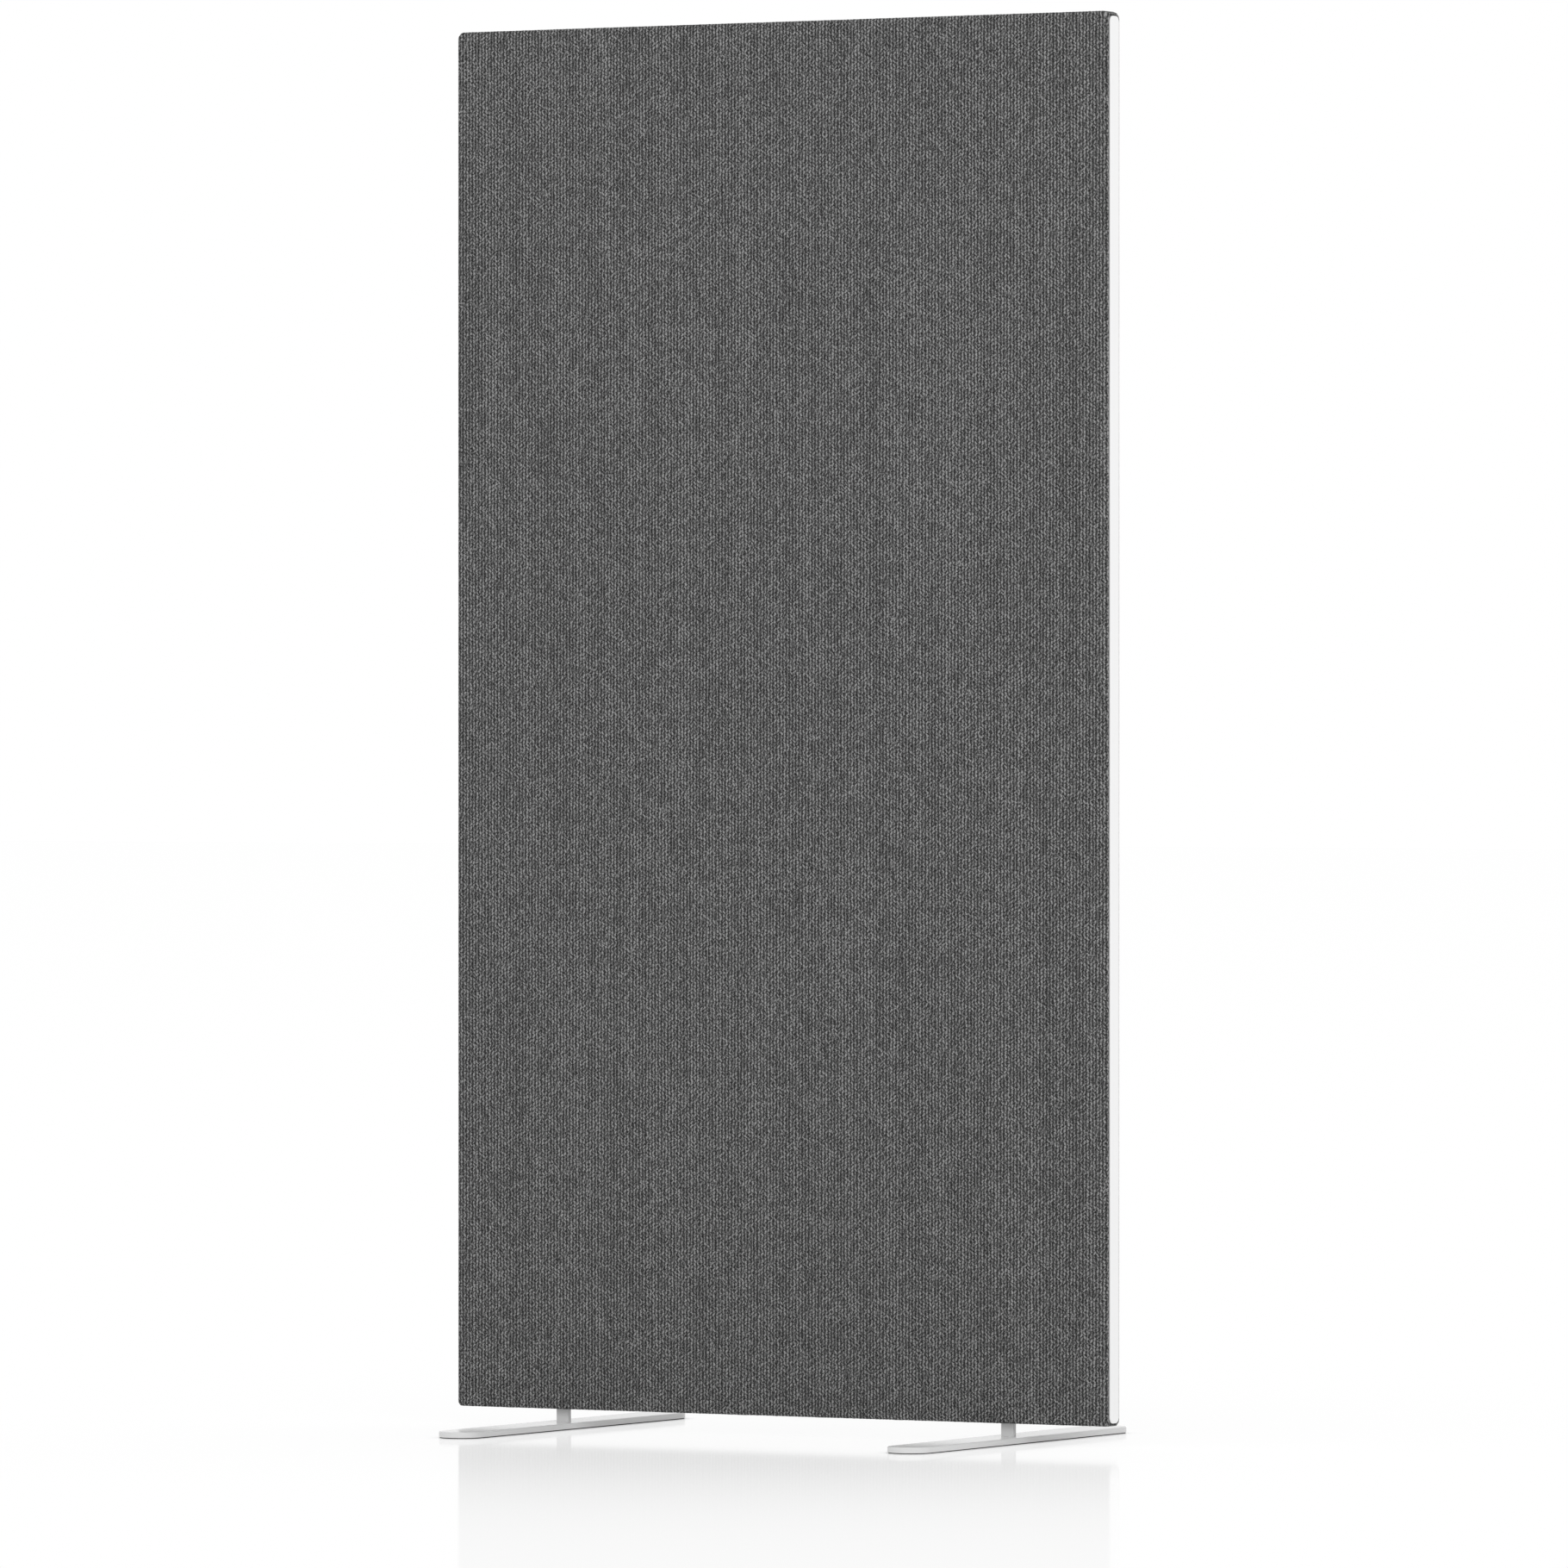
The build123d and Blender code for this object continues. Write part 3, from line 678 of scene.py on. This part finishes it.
@dataclass(frozen=True)
class MeshParts:
    """The arrays that a piece's mesh is made from: its points and its faces' vertex numbers."""

    points: np.ndarray
    smooth: list[np.ndarray]
    flat: list[np.ndarray]
    cloth_map: np.ndarray | None = None

    def piece(self, name: str, slot: str) -> bpy.types.Object:
        """Makes the object, gives it its finish and lets it ride on the screen's one body.

        Args:
            name: the piece's name.
            slot: the record's material slot.

        Returns:
            The new piece.
        """
        blocks = self.smooth + self.flat
        sizes = np.concatenate([np.full(len(block), block.shape[1]) for block in blocks])
        corners = np.concatenate([block.ravel() for block in blocks])
        mesh = bpy.data.meshes.new(name)
        mesh.vertices.add(len(self.points))
        mesh.vertices.foreach_set("co", self.points.astype(np.float32).ravel())
        mesh.loops.add(len(corners))
        mesh.loops.foreach_set("vertex_index", corners.astype(np.int32))
        mesh.polygons.add(len(sizes))
        mesh.polygons.foreach_set("loop_start", (np.cumsum(sizes) - sizes).astype(np.int32))
        mesh.polygons.foreach_set("use_smooth", np.arange(len(sizes)) < sum(map(len, self.smooth)))
        if self.cloth_map is not None:
            layer = mesh.uv_layers.new(name=CLOTH_MAP)
            layer.uv.foreach_set("vector", self.cloth_map[corners].astype(np.float32).ravel())
        mesh.update(calc_edges=True)
        mesh.validate()
        mesh.materials.append(FINISHES[slot].material())
        made = put(name, mesh)
        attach(made, BODY)
        return made


def closed(rings: np.ndarray) -> MeshParts:
    """Joins rings of points by walls, and fills the first and the last ring flat.

    A ring's area is the sum of the cross products of its neighbours. Where it looks against the
    way that the rings go, the faces are turned round, so that they look outward.

    Args:
        rings: points by ring and by place round it.

    Returns:
        The closed solid's arrays.
    """
    number = np.arange(rings[..., 0].size).reshape(rings.shape[:2])
    walls, ends = quads(np.hstack([number, number[:, :1]]).T), [number[:1, ::-1], number[-1:]]
    area = np.cross(rings[0], np.roll(rings[0], -1, axis=0)).sum(axis=0)
    if area @ (rings[-1] - rings[0]).mean(axis=0) < 0:
        walls, ends = walls[:, ::-1], [end[:, ::-1] for end in ends]
    return MeshParts(rings.reshape(-1, 3), [walls], ends)


@dataclass(frozen=True)
class Outline:
    """A rounded rectangle in a plane, round which a profile is carried."""

    half_width: float
    low: float
    high: float
    low_radius: float
    high_radius: float
    corner_steps: int = 8

    def carry(self, profile: np.ndarray, order: tuple[int, ...]) -> MeshParts:
        """Carries a profile round four quarter circles and the straight stretches between them.

        Each step of the profile is one ring: the outline drawn in by the step's first number along
        the outward direction, at the height of its second.

        Args:
            profile: rows of how far in and how high, from the first ring to the last.
            order: which of across, upright and height run along X, Y and Z.

        Returns:
            The closed solid's arrays.
        """
        starts = QUARTER_TURN * np.array([2, 3, 0, 1])
        angle = starts[:, None] + np.linspace(0, QUARTER_TURN, self.corner_steps + 1)
        outward = np.stack([np.cos(angle), np.sin(angle)], axis=-1)
        radii = np.repeat([self.low_radius, self.high_radius], 2)
        across = np.array([-1, 1, 1, -1]) * (self.half_width - radii)
        upright = np.repeat([self.low, self.high], 2) + np.repeat([1, -1], 2) * radii
        reach = radii[:, None, None] - profile[:, :1, None, None]
        flat = np.stack([across, upright], axis=-1)[:, None] + reach * outward
        height = np.broadcast_to(profile[:, 1:, None, None], (*flat.shape[:-1], 1))
        return closed(np.concatenate([flat, height], axis=-1)[..., order].reshape(len(profile), -1, 3))


# The panel


@dataclass(frozen=True)
class PanelForm:
    """The panel's rounded outer form."""

    half_width: float
    half_thickness: float
    low: float
    high: float
    top_radius: float = 0.0075
    bottom_radius: float = 0.004
    edge_radius: float = 0.0035

    def distance(self, points: np.ndarray) -> np.ndarray:
        """Measures how far points stand outside the form, negative inside.

        The front view is a rounded rectangle drawn in by the edge radius. The distance to it and
        the distance past the faces' plane, drawn in alike, join as the sides of a right angle,
        and the edge radius is taken off again.

        Args:
            points: places, with X, Y and Z last.

        Returns:
            The distance at each place.
        """

        def past(first: np.ndarray, second: np.ndarray) -> np.ndarray:
            """Measures how far places are past a square corner, from how far past each side."""
            return np.hypot(first.clip(0), second.clip(0)) + np.maximum(first, second).clip(max=0)

        middle, half_height = (self.high + self.low) / 2, (self.high - self.low) / 2
        x, y, z = np.moveaxis(points, -1, 0)
        corner = np.where(z > middle, self.top_radius, self.bottom_radius) - self.edge_radius
        across = np.abs(x) - self.half_width + self.edge_radius + corner
        upright = np.abs(z - middle) - half_height + self.edge_radius + corner
        depth = np.abs(y) - self.half_thickness + self.edge_radius
        return past(past(across, upright) - corner, depth) - self.edge_radius

    def settle(self, points: np.ndarray, rounds: int = 4, step: float = 1e-6) -> np.ndarray:
        """Moves points to the form's surface, straight down its distance's slope.

        Args:
            points: places near the surface.
            rounds: how often the move is repeated.
            step: over which the slope is measured.

        Returns:
            The places on the surface.
        """
        for _ in range(rounds):
            here = self.distance(points)
            slope = [self.distance(points + step * axis) - here for axis in np.eye(3)]
            points = points - here[..., None] * unit(np.stack(slope, axis=-1))
        return points


@dataclass(frozen=True)
class ClothCover:
    """The ribbed cloth: one length round the panel, turned in beside both edge strips.

    The loop steps are the pieces that half the underside, a corner, a face and half the top are
    each cut into.
    """

    form: PanelForm
    loop_steps: tuple[int, ...] = (4, 6, 28, 3)
    columns_per_rib: int = 4
    rib_valley_x: float = -0.000882
    rib_height: float = 0.0004
    rib_proud: float = 0.0001
    unevenness_share: float = 0.15
    unevenness_seed: int = 7
    swell_reach: float = 0.16
    swell_waves: int = 6
    swell_seed: int = 11
    thickness: float = 0.001
    joint_gap: float = 0.002
    closed_gap: float = 0.0001
    post_width: float = 0.015
    post_thickness: float = 0.006
    slit_clearance: float = 0.0002
    slit_ease: float = 0.003
    window_radius: float = 0.0065
    hem_depth: float = 0.0065
    fold_radius: float = 0.00105
    brim_rounds: int = 40
    side_columns: int = 16
    fold_columns: int = 4
    hem_columns: int = 3
    lining_spacing: int = 32

    def joint_half_gap(self, across: np.ndarray) -> np.ndarray:
        """Gives half the gap between the cloth's ends, eased wider round the two posts.

        Args:
            across: places along X.

        Returns:
            Half the gap at each place.
        """
        least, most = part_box("post_bracket_right")
        past_post = np.abs(np.abs(across) - (least.x + most.x) / 2) - self.post_width / 2
        beside = (1 - past_post / self.slit_ease).clip(0, 1)
        widening = self.post_thickness / 2 + self.slit_clearance - self.joint_gap / 2
        return self.joint_gap / 2 + beside * beside * (3 - 2 * beside) * widening

    def loops(self, x: Any, *sizes: Any) -> np.ndarray:
        """Works out loops round the panel, each a rounded rectangle across X, open underneath.

        A loop runs from the underside's middle to the front, up the front and over half the top,
        by quarter circles and straight stretches shared evenly. The rear is its mirror image.

        Args:
            x: where each loop, or each of its points, lies along X.
            sizes: half the loops' width along Y, the height of their underside and of their top,
                their corners' radius and half the gap under their middle, each for one or all.

        Returns:
            The loops' points, one loop for each row.
        """
        columns = (np.reshape(np.asarray(size, float), (-1, 1)) for size in sizes)
        half, low, high, radius, gap = np.broadcast_arrays(*columns)
        under, corner, face, top = (np.arange(count) / count for count in self.loop_steps)
        sine, cosine = np.sin(corner * QUARTER_TURN), np.cos(corner * QUARTER_TURN)
        inner = half - radius
        stretches = (
            (-gap - under * (inner - gap), low + 0 * under),
            (-inner - radius * sine, low + radius * (1 - cosine)),
            (-half + 0 * face, low + radius + face * (high - low - 2 * radius)),
            (-inner - radius * cosine, high - radius * (1 - sine)),
            (-inner + top * inner, high + 0 * top),
            (0 * high, high),
        )
        front = np.concatenate([np.stack(stretch) for stretch in stretches], axis=-1)
        rear = front[..., -2::-1] * np.array([-1, 1])[:, None, None]
        y, z = np.concatenate([front, rear], axis=-1)
        return np.stack(np.broadcast_arrays(x, y, z), axis=-1)

    def right_hand_side(self, flat_edge: np.ndarray) -> np.ndarray:
        """Works out the loops from the face's edge to the end of the right-hand hem.

        The first ones are blended from the face's last loop to the strip's outline and settled on
        the panel's form. The next turn in round a small fold, and the last run straight in.

        Args:
            flat_edge: the last loop of the flat face.

        Returns:
            The loops' points, one loop for each row.
        """
        form, (least, most) = self.form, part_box("edge_strip_right")

        def window(growth: Any, x: Any) -> np.ndarray:
            """Gives loops of the strip's outline at places along X, grown by the growth."""
            sizes = (most.y + growth, least.z - growth, most.z + growth, self.window_radius + growth)
            return self.loops(x, *sizes, self.closed_gap / 2)

        brim = window(self.fold_radius, form.half_width)[0]
        for _ in range(self.brim_rounds):
            brim[:, 0] -= form.distance(brim)
        share, turn, inward = (
            np.arange(1, count + 1)[:, None] / count
            for count in (self.side_columns, self.fold_columns, self.hem_columns)
        )
        side = form.settle(flat_edge + share[..., None] * (brim - flat_edge))
        side[-1] = brim
        turn = turn * QUARTER_TURN
        fold_x = brim[:, 0] - self.fold_radius * (1 - np.cos(turn))
        fold = window(self.fold_radius * (1 - np.sin(turn)), fold_x)
        hem_end = form.half_width - self.hem_depth
        hem = window(0.0, fold_x[-1:] + inward * (hem_end - fold_x[-1:]))
        return np.concatenate([side, fold, hem])

    def grid(self) -> tuple[np.ndarray, np.ndarray, np.ndarray]:
        """Lays the whole cloth's even surface, before its ribs.

        Returns:
            The points by column and row, the cloth's distance across at each column, and the
            distance along it at each row.
        """
        form, spacing = self.form, CLOTH.rib_pitch / self.columns_per_rib
        reach = int((form.half_width - form.top_radius - abs(self.rib_valley_x)) / spacing)
        flat_x = np.arange(-reach, reach + 1) * spacing + self.rib_valley_x
        sizes = (form.half_thickness, form.low, form.high, form.edge_radius)
        flat = self.loops(flat_x[:, None], *sizes, self.joint_half_gap(flat_x))
        right = self.right_hand_side(flat[-1])
        left = self.right_hand_side(flat[0] * (-1, 1, 1)) * (-1, 1, 1)
        even = np.concatenate([left[::-1], flat, right])
        under, corner, face, _ = self.loop_steps
        across = travelled(even[:, under + corner + face // 2])
        return even, across - across[len(left) + reach], travelled(flat[reach])

    def rib_relief(self, across: np.ndarray, along: np.ndarray) -> np.ndarray:
        """Works out how far the ribs stand out of the even surface.

        Each rib is half an ellipse across its pitch. Its height varies from rib to rib, and slowly
        over the cloth by the mean of some sines in random directions. The ribs are left out where
        the cloth turns in beside the strips.

        Args:
            across: the cloth's distance across at each column.
            along: the distance along it at each row.

        Returns:
            The relief by column and row.
        """
        count = across / CLOTH.rib_pitch
        number = np.floor(count).astype(int)
        crown = np.sqrt((1 - (2 * (count - number) - 1) ** 2).clip(0))
        number -= number.min()
        draws = np.random.default_rng(self.unevenness_seed).normal(0, self.unevenness_share, number.max() + 1)
        draw, widest = np.random.default_rng(self.swell_seed), 2 * np.pi / self.swell_reach
        turns = draw.uniform(-widest, widest, (self.swell_waves, 2))
        phases = draw.uniform(0, 2 * np.pi, self.swell_waves)
        places = across[:, None, None] * turns[:, 0] + along[:, None] * turns[:, 1] + phases
        swell = 1 + self.unevenness_share * np.sin(places).mean(axis=-1)
        height = self.rib_height * (crown * (1 + draws[number]))[:, None] * swell
        relief = height + self.rib_proud - self.rib_height
        plain = self.fold_columns + self.hem_columns
        relief[:plain] = relief[-plain:] = 0
        return relief

    def build(self) -> None:
        """Makes the cloth with its outer skin, its plain inner skin and the edges between them."""
        even, across, along = self.grid()
        columns, rows = even.shape[:2]
        normal = unit(np.cross(*np.gradient(even, axis=(0, 1))))
        place = np.arange(columns)
        near_posts = self.joint_half_gap(even[:, 0, 0]) > self.joint_gap / 2
        turned_in = self.side_columns + self.fold_columns + self.hem_columns
        at_sides = np.minimum(place, place[::-1]) <= turned_in
        lined = np.flatnonzero((place % self.lining_spacing == 0) | near_posts | at_sides)
        outer = np.arange(columns * rows).reshape(columns, rows)
        inner = np.arange(len(lined) * rows).reshape(-1, rows) + outer.size
        borders = []
        for edge, turn in ((0, 1), (-1, -1)):
            borders.append(quads(np.stack([inner[edge], outer[edge]])[:, ::turn]))
            for first, (start, stop) in enumerate(zip(lined, lined[1:])):
                sides = outer[start : stop + 1, edge][::-turn], inner[first : first + 2, edge][::turn]
                borders.append(np.concatenate(sides)[None])
        outside = even + normal * self.rib_relief(across, along)[..., None]
        inside = (even - normal * self.thickness)[lined]
        cloth = np.stack(np.meshgrid(across, along, indexing="ij"), axis=-1)
        made = MeshParts(
            np.concatenate([outside, inside]).reshape(-1, 3),
            [quads(outer), quads(inner)[:, ::-1]],
            borders,
            np.concatenate([cloth, cloth[lined]]).reshape(-1, 2),
        ).piece("ribbed_cover", "cover_fabric")
        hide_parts("cover")


@dataclass(frozen=True)
class Padding:
    """The soft filling: fleece behind the cloth on both faces, and felt slabs in the frame."""

    form: PanelForm
    fleece_depth_steps: int = 6
    slab_edge: float = 0.002
    slab_corner: float = 0.003
    slab_crown: float = 0.0003
    slab_crown_reach: float = 0.05
    core_nodes: tuple[str, ...] = ("lower_core_slab", "middle_core_slab", "upper_core_slab")

    def fleece(self, face: Face) -> None:
        """Makes one face's fleece: the rounded face of the panel's form, cut off flat behind.

        Args:
            face: which face it pads.
        """
        form, node = self.form, f"{face.word}_fleece"
        least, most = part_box(node)
        inner, outer = sorted((abs(least.y), abs(most.y)))
        skin = form.half_thickness - outer
        edge = form.edge_radius - skin
        height = np.linspace(inner, outer, self.fleece_depth_steps + 1)
        inset = edge - np.sqrt((edge**2 - (height - (outer - edge)) ** 2).clip(0))
        outline = Outline(
            form.half_width - skin, form.low + skin, form.high - skin,
            form.bottom_radius - skin, form.top_radius - skin,
        )
        parts = outline.carry(np.stack([inset, face.value * height], axis=-1), (0, 2, 1))
        made = parts.piece(f"{node}_layer", "fleece")
        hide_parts(node)

    def core_slab(self, node: str) -> None:
        """Makes one felt slab, with soft edges and slightly crowned faces.

        Args:
            node: the CAD slab that it stands for.
        """
        least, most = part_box(node)
        turned = rounded_edge(self.slab_edge) + (0.0, most.y - self.slab_crown)
        upper = np.concatenate([turned, [(self.slab_crown_reach, most.y)]])
        outline = Outline(most.x, least.z, most.z, self.slab_corner, self.slab_corner)
        parts = outline.carry(np.concatenate([upper[::-1] * (1, -1), upper]), (0, 2, 1))
        made = parts.piece(f"{node}_felt", "core_felt")
        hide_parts(node)

    def build(self) -> None:
        """Makes every soft filling piece."""
        for face in Face:
            self.fleece(face)
        for node in self.core_nodes:
            self.core_slab(node)
        LOG.info("padding: fleece on both faces, and %s", ", ".join(self.core_nodes))


@dataclass(frozen=True)
class EdgeStrip:
    """A white snap-in strip: a flat cap with rounded ends and softened rim, on two barbed legs."""

    end: End
    corner_radius: float = 0.0065
    corner_steps: int = 12
    rim_radius: float = 0.0006
    back_edge: float = 0.00015
    cap_thickness: float = 0.0024
    leg_outer: float = 0.0023
    leg_thickness: float = 0.0012
    leg_margin: float = 0.011
    barb_reach: float = 0.001
    barb_length: float = 0.003
    barb_setback: float = 0.0018

    def build(self) -> None:
        """Makes the strip's cap, and two legs, each a barbed outline carried straight up."""
        node, sign = f"edge_strip_{self.end.word}", self.end.value
        least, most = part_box(node)
        tip, face = sorted((abs(least.x), abs(most.x)))
        back = face - self.cap_thickness
        behind = [(self.back_edge, back), (0.0, back + self.back_edge)]
        rim = rounded_edge(self.rim_radius) + (0.0, face)
        radius = self.corner_radius
        outline = Outline(most.y, least.z, most.z, radius, radius, self.corner_steps)
        cap = outline.carry(np.concatenate([behind, rim]) * (1, sign), (2, 0, 1))
        shoulder, outer = back - self.barb_setback, self.leg_outer
        inner, barb = outer - self.leg_thickness, outer + self.barb_reach
        section = np.array([
            (back, inner), (tip, inner), (tip, outer), (shoulder - self.barb_length, outer),
            (shoulder, barb), (shoulder, outer), (back, outer),
        ])
        margin = radius + self.leg_margin
        points, flat = [cap.points], cap.flat
        for side in (-1, 1):
            ring = section * (sign, side)
            heights = (least.z + margin, most.z - margin)
            leg = closed(np.stack([np.insert(ring, 2, height, axis=1) for height in heights]))
            flat = flat + [block + sum(map(len, points)) for block in leg.smooth + leg.flat]
            points.append(leg.points)
        parts = MeshParts(np.concatenate(points), cap.smooth, flat)
        made = parts.piece(f"snap_in_strip_{self.end.word}", "white_plastic")
        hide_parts(node)
        LOG.info("edge strip: %s", made.name)


@dataclass(frozen=True)
class CarriedPieces:
    """The CAD nodes whose shape is right: they keep their meshes and get their finishes."""

    upright_timber: tuple[str, ...] = ("stile_right", "stile_left")

    def dress(self) -> None:
        """Gives every shown CAD node its finish, with the wood's grain along its length."""
        dressed = []
        for row in frame["record"]["subparts"]:
            name, slot = row["node"], row["material_slot"]
            node = frame["nodes"][name]
            if node.hide_render:
                continue
            finish = PINE[Grain.ALONG_Z] if name in self.upright_timber else FINISHES[slot]
            if not node.material_slots:
                node.data.materials.append(finish.material())
            for material_slot in node.material_slots:
                material_slot.material = finish.material()
            dressed.append(name)
        LOG.info("carried over: %s", ", ".join(dressed))


# The studio


@dataclass(frozen=True)
class Studio:
    """A white glossy floor, a soft white surround, a key lamp and the photograph's camera."""

    floor_reach: float = 60.0
    floor_level: float = -0.00002
    surround_light: float = 0.9
    seen_rays: tuple[str, ...] = ("Camera", "Glossy", "Transmission")
    gloss_far: float = 0.05
    gloss_near: float = 0.235
    near_reach: float = 1.0
    gloss_roughness: float = 0.08
    shadow_share: float = 0.12
    contact_gain: float = 2.0
    contact_reach: float = 0.02
    contact_samples: int = 8
    camera_place: Numbers = (6.49670, -11.19022, 0.74416)
    camera_turn: float = np.radians(30.1373)
    camera_dip: float = np.radians(0.2327)
    camera_clip: Numbers = (0.1, 200.0)
    lens_mm: float = 279.85
    sensor_mm: float = 36.0
    key_place: Numbers = (3.6, -4.6, 4.2)
    key_size: float = 2.6
    key_watts: float = 90.0

    def seen(self, desk: ShaderTree) -> Socket:
        """Gives 1 for rays from the camera, from gloss and through glass, and else 0."""
        camera, gloss, glass = (desk.add("LightPath").outputs[f"Is {ray} Ray"] for ray in self.seen_rays)
        return desk.math("ADD", desk.math("ADD", camera, gloss), glass, clamp=True)

    def floor_material(self) -> bpy.types.Material:
        """Makes the floor: white where it is seen, glossy near the screen, dark close to its feet.

        How near a place is falls from 1 at the screen's middle to 0 far from it, as a bell curve.

        Returns:
            The material.
        """
        made = bpy.data.materials.new("studio_floor")
        made.use_nodes = True
        made.node_tree.nodes.clear()
        desk = ShaderTree(made.node_tree)
        seen = self.seen(desk)
        distance = desk.add("VectorMath", {0: desk.place()}, operation="LENGTH").outputs["Value"]
        away = desk.math("DIVIDE", distance, self.near_reach)
        near = desk.math("EXPONENT", desk.times(desk.times(away, away), -1.0))
        hidden = desk.add("AmbientOcclusion", {"Distance": self.contact_reach}, samples=self.contact_samples)
        contact = desk.times(desk.math("SUBTRACT", 1.0, hidden.outputs["AO"]), self.contact_gain)
        shaded = desk.math("MULTIPLY_ADD", near, self.shadow_share, contact, clamp=True)
        plain_share = desk.times(seen, desk.math("SUBTRACT", 1.0, shaded))
        shine_share = desk.times(seen, desk.line(near, self.gloss_near, self.gloss_far))
        below = desk.add("NewGeometry").outputs["Backfacing"]
        surface = desk.add("BsdfDiffuse", {"Color": WHITE}).outputs[0]
        for share, other, inputs in (
            (plain_share, "Emission", {"Color": WHITE, "Strength": 1.0}),
            (shine_share, "BsdfGlossy", {"Color": WHITE, "Roughness": self.gloss_roughness}),
            (below, "BsdfTransparent", {}),
        ):
            mixed = {0: share, 1: surface, 2: desk.add(other, inputs).outputs[0]}
            surface = desk.add("MixShader", mixed).outputs[0]
        desk.add("OutputMaterial", {"Surface": surface})
        return made

    def lay_floor(self) -> None:
        """Lays the floor, just under the feet's pads."""
        corners = [(-1, -1), (1, -1), (1, 1), (-1, 1)]
        points = [(x * self.floor_reach, y * self.floor_reach, self.floor_level) for x, y in corners]
        mesh = bpy.data.meshes.new("studio_floor")
        mesh.from_pydata(points, [], [(0, 1, 2, 3)])
        mesh.materials.append(self.floor_material())
        floor = put("studio_floor", mesh)

    def light_surround(self) -> None:
        """Surrounds the screen with soft white light, pure white where it is seen."""
        world = bpy.data.worlds.new("studio_surround")
        world.use_nodes = True
        world.node_tree.nodes.clear()
        desk = ShaderTree(world.node_tree)
        strength = desk.line(self.seen(desk), 1.0 - self.surround_light, self.surround_light)
        background = desk.add("Background", {"Color": WHITE, "Strength": strength}).outputs[0]
        desk.add("OutputWorld", {"Surface": background})
        bpy.context.scene.world = world

    def hang_key(self) -> None:
        """Hangs the large soft key lamp in front of the screen, to its right."""
        lamp = bpy.data.lights.new("key_lamp", "AREA")
        lamp.energy, lamp.size = self.key_watts, self.key_size
        key = put("key_lamp", lamp)
        key.location = self.key_place
        target = Vector((0.0, 0.0, CAD_BOUNDS[1].z / 2))
        key.rotation_euler = (target - key.location).to_track_quat("-Z", "Y").to_euler()

    def place_camera(self) -> None:
        """Places the camera where the photograph's stood, looking the way it looked."""
        data = bpy.data.cameras.new("photo_camera")
        data.lens, data.sensor_width = self.lens_mm, self.sensor_mm
        data.clip_start, data.clip_end = self.camera_clip
        camera = put("photo_camera", data)
        camera.location = self.camera_place
        turn, level, dip = self.camera_turn, np.cos(self.camera_dip), np.sin(self.camera_dip)
        ahead = Vector((-np.sin(turn) * level, np.cos(turn) * level, -dip))
        camera.rotation_euler = ahead.to_track_quat("-Z", "Y").to_euler()
        bpy.context.scene.camera = camera

    def build(self) -> None:
        """Sets up the whole studio."""
        self.lay_floor()
        self.light_surround()
        self.hang_key()
        self.place_camera()
        bpy.context.scene.view_settings.view_transform = "Standard"
        LOG.info("studio: floor, surround, key lamp and camera")


def main() -> None:
    """Builds and dresses the screen, then sets up the studio."""
    logging.basicConfig(level=logging.INFO, format="%(name)s: %(message)s")
    least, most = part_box("cover")
    form = PanelForm(most.x, most.y, least.z, most.z)
    ClothCover(form).build()
    Padding(form).build()
    for end in End:
        EdgeStrip(end).build()
    CarriedPieces().dress()
    Studio().build()


if __name__ == "__main__":
    main()
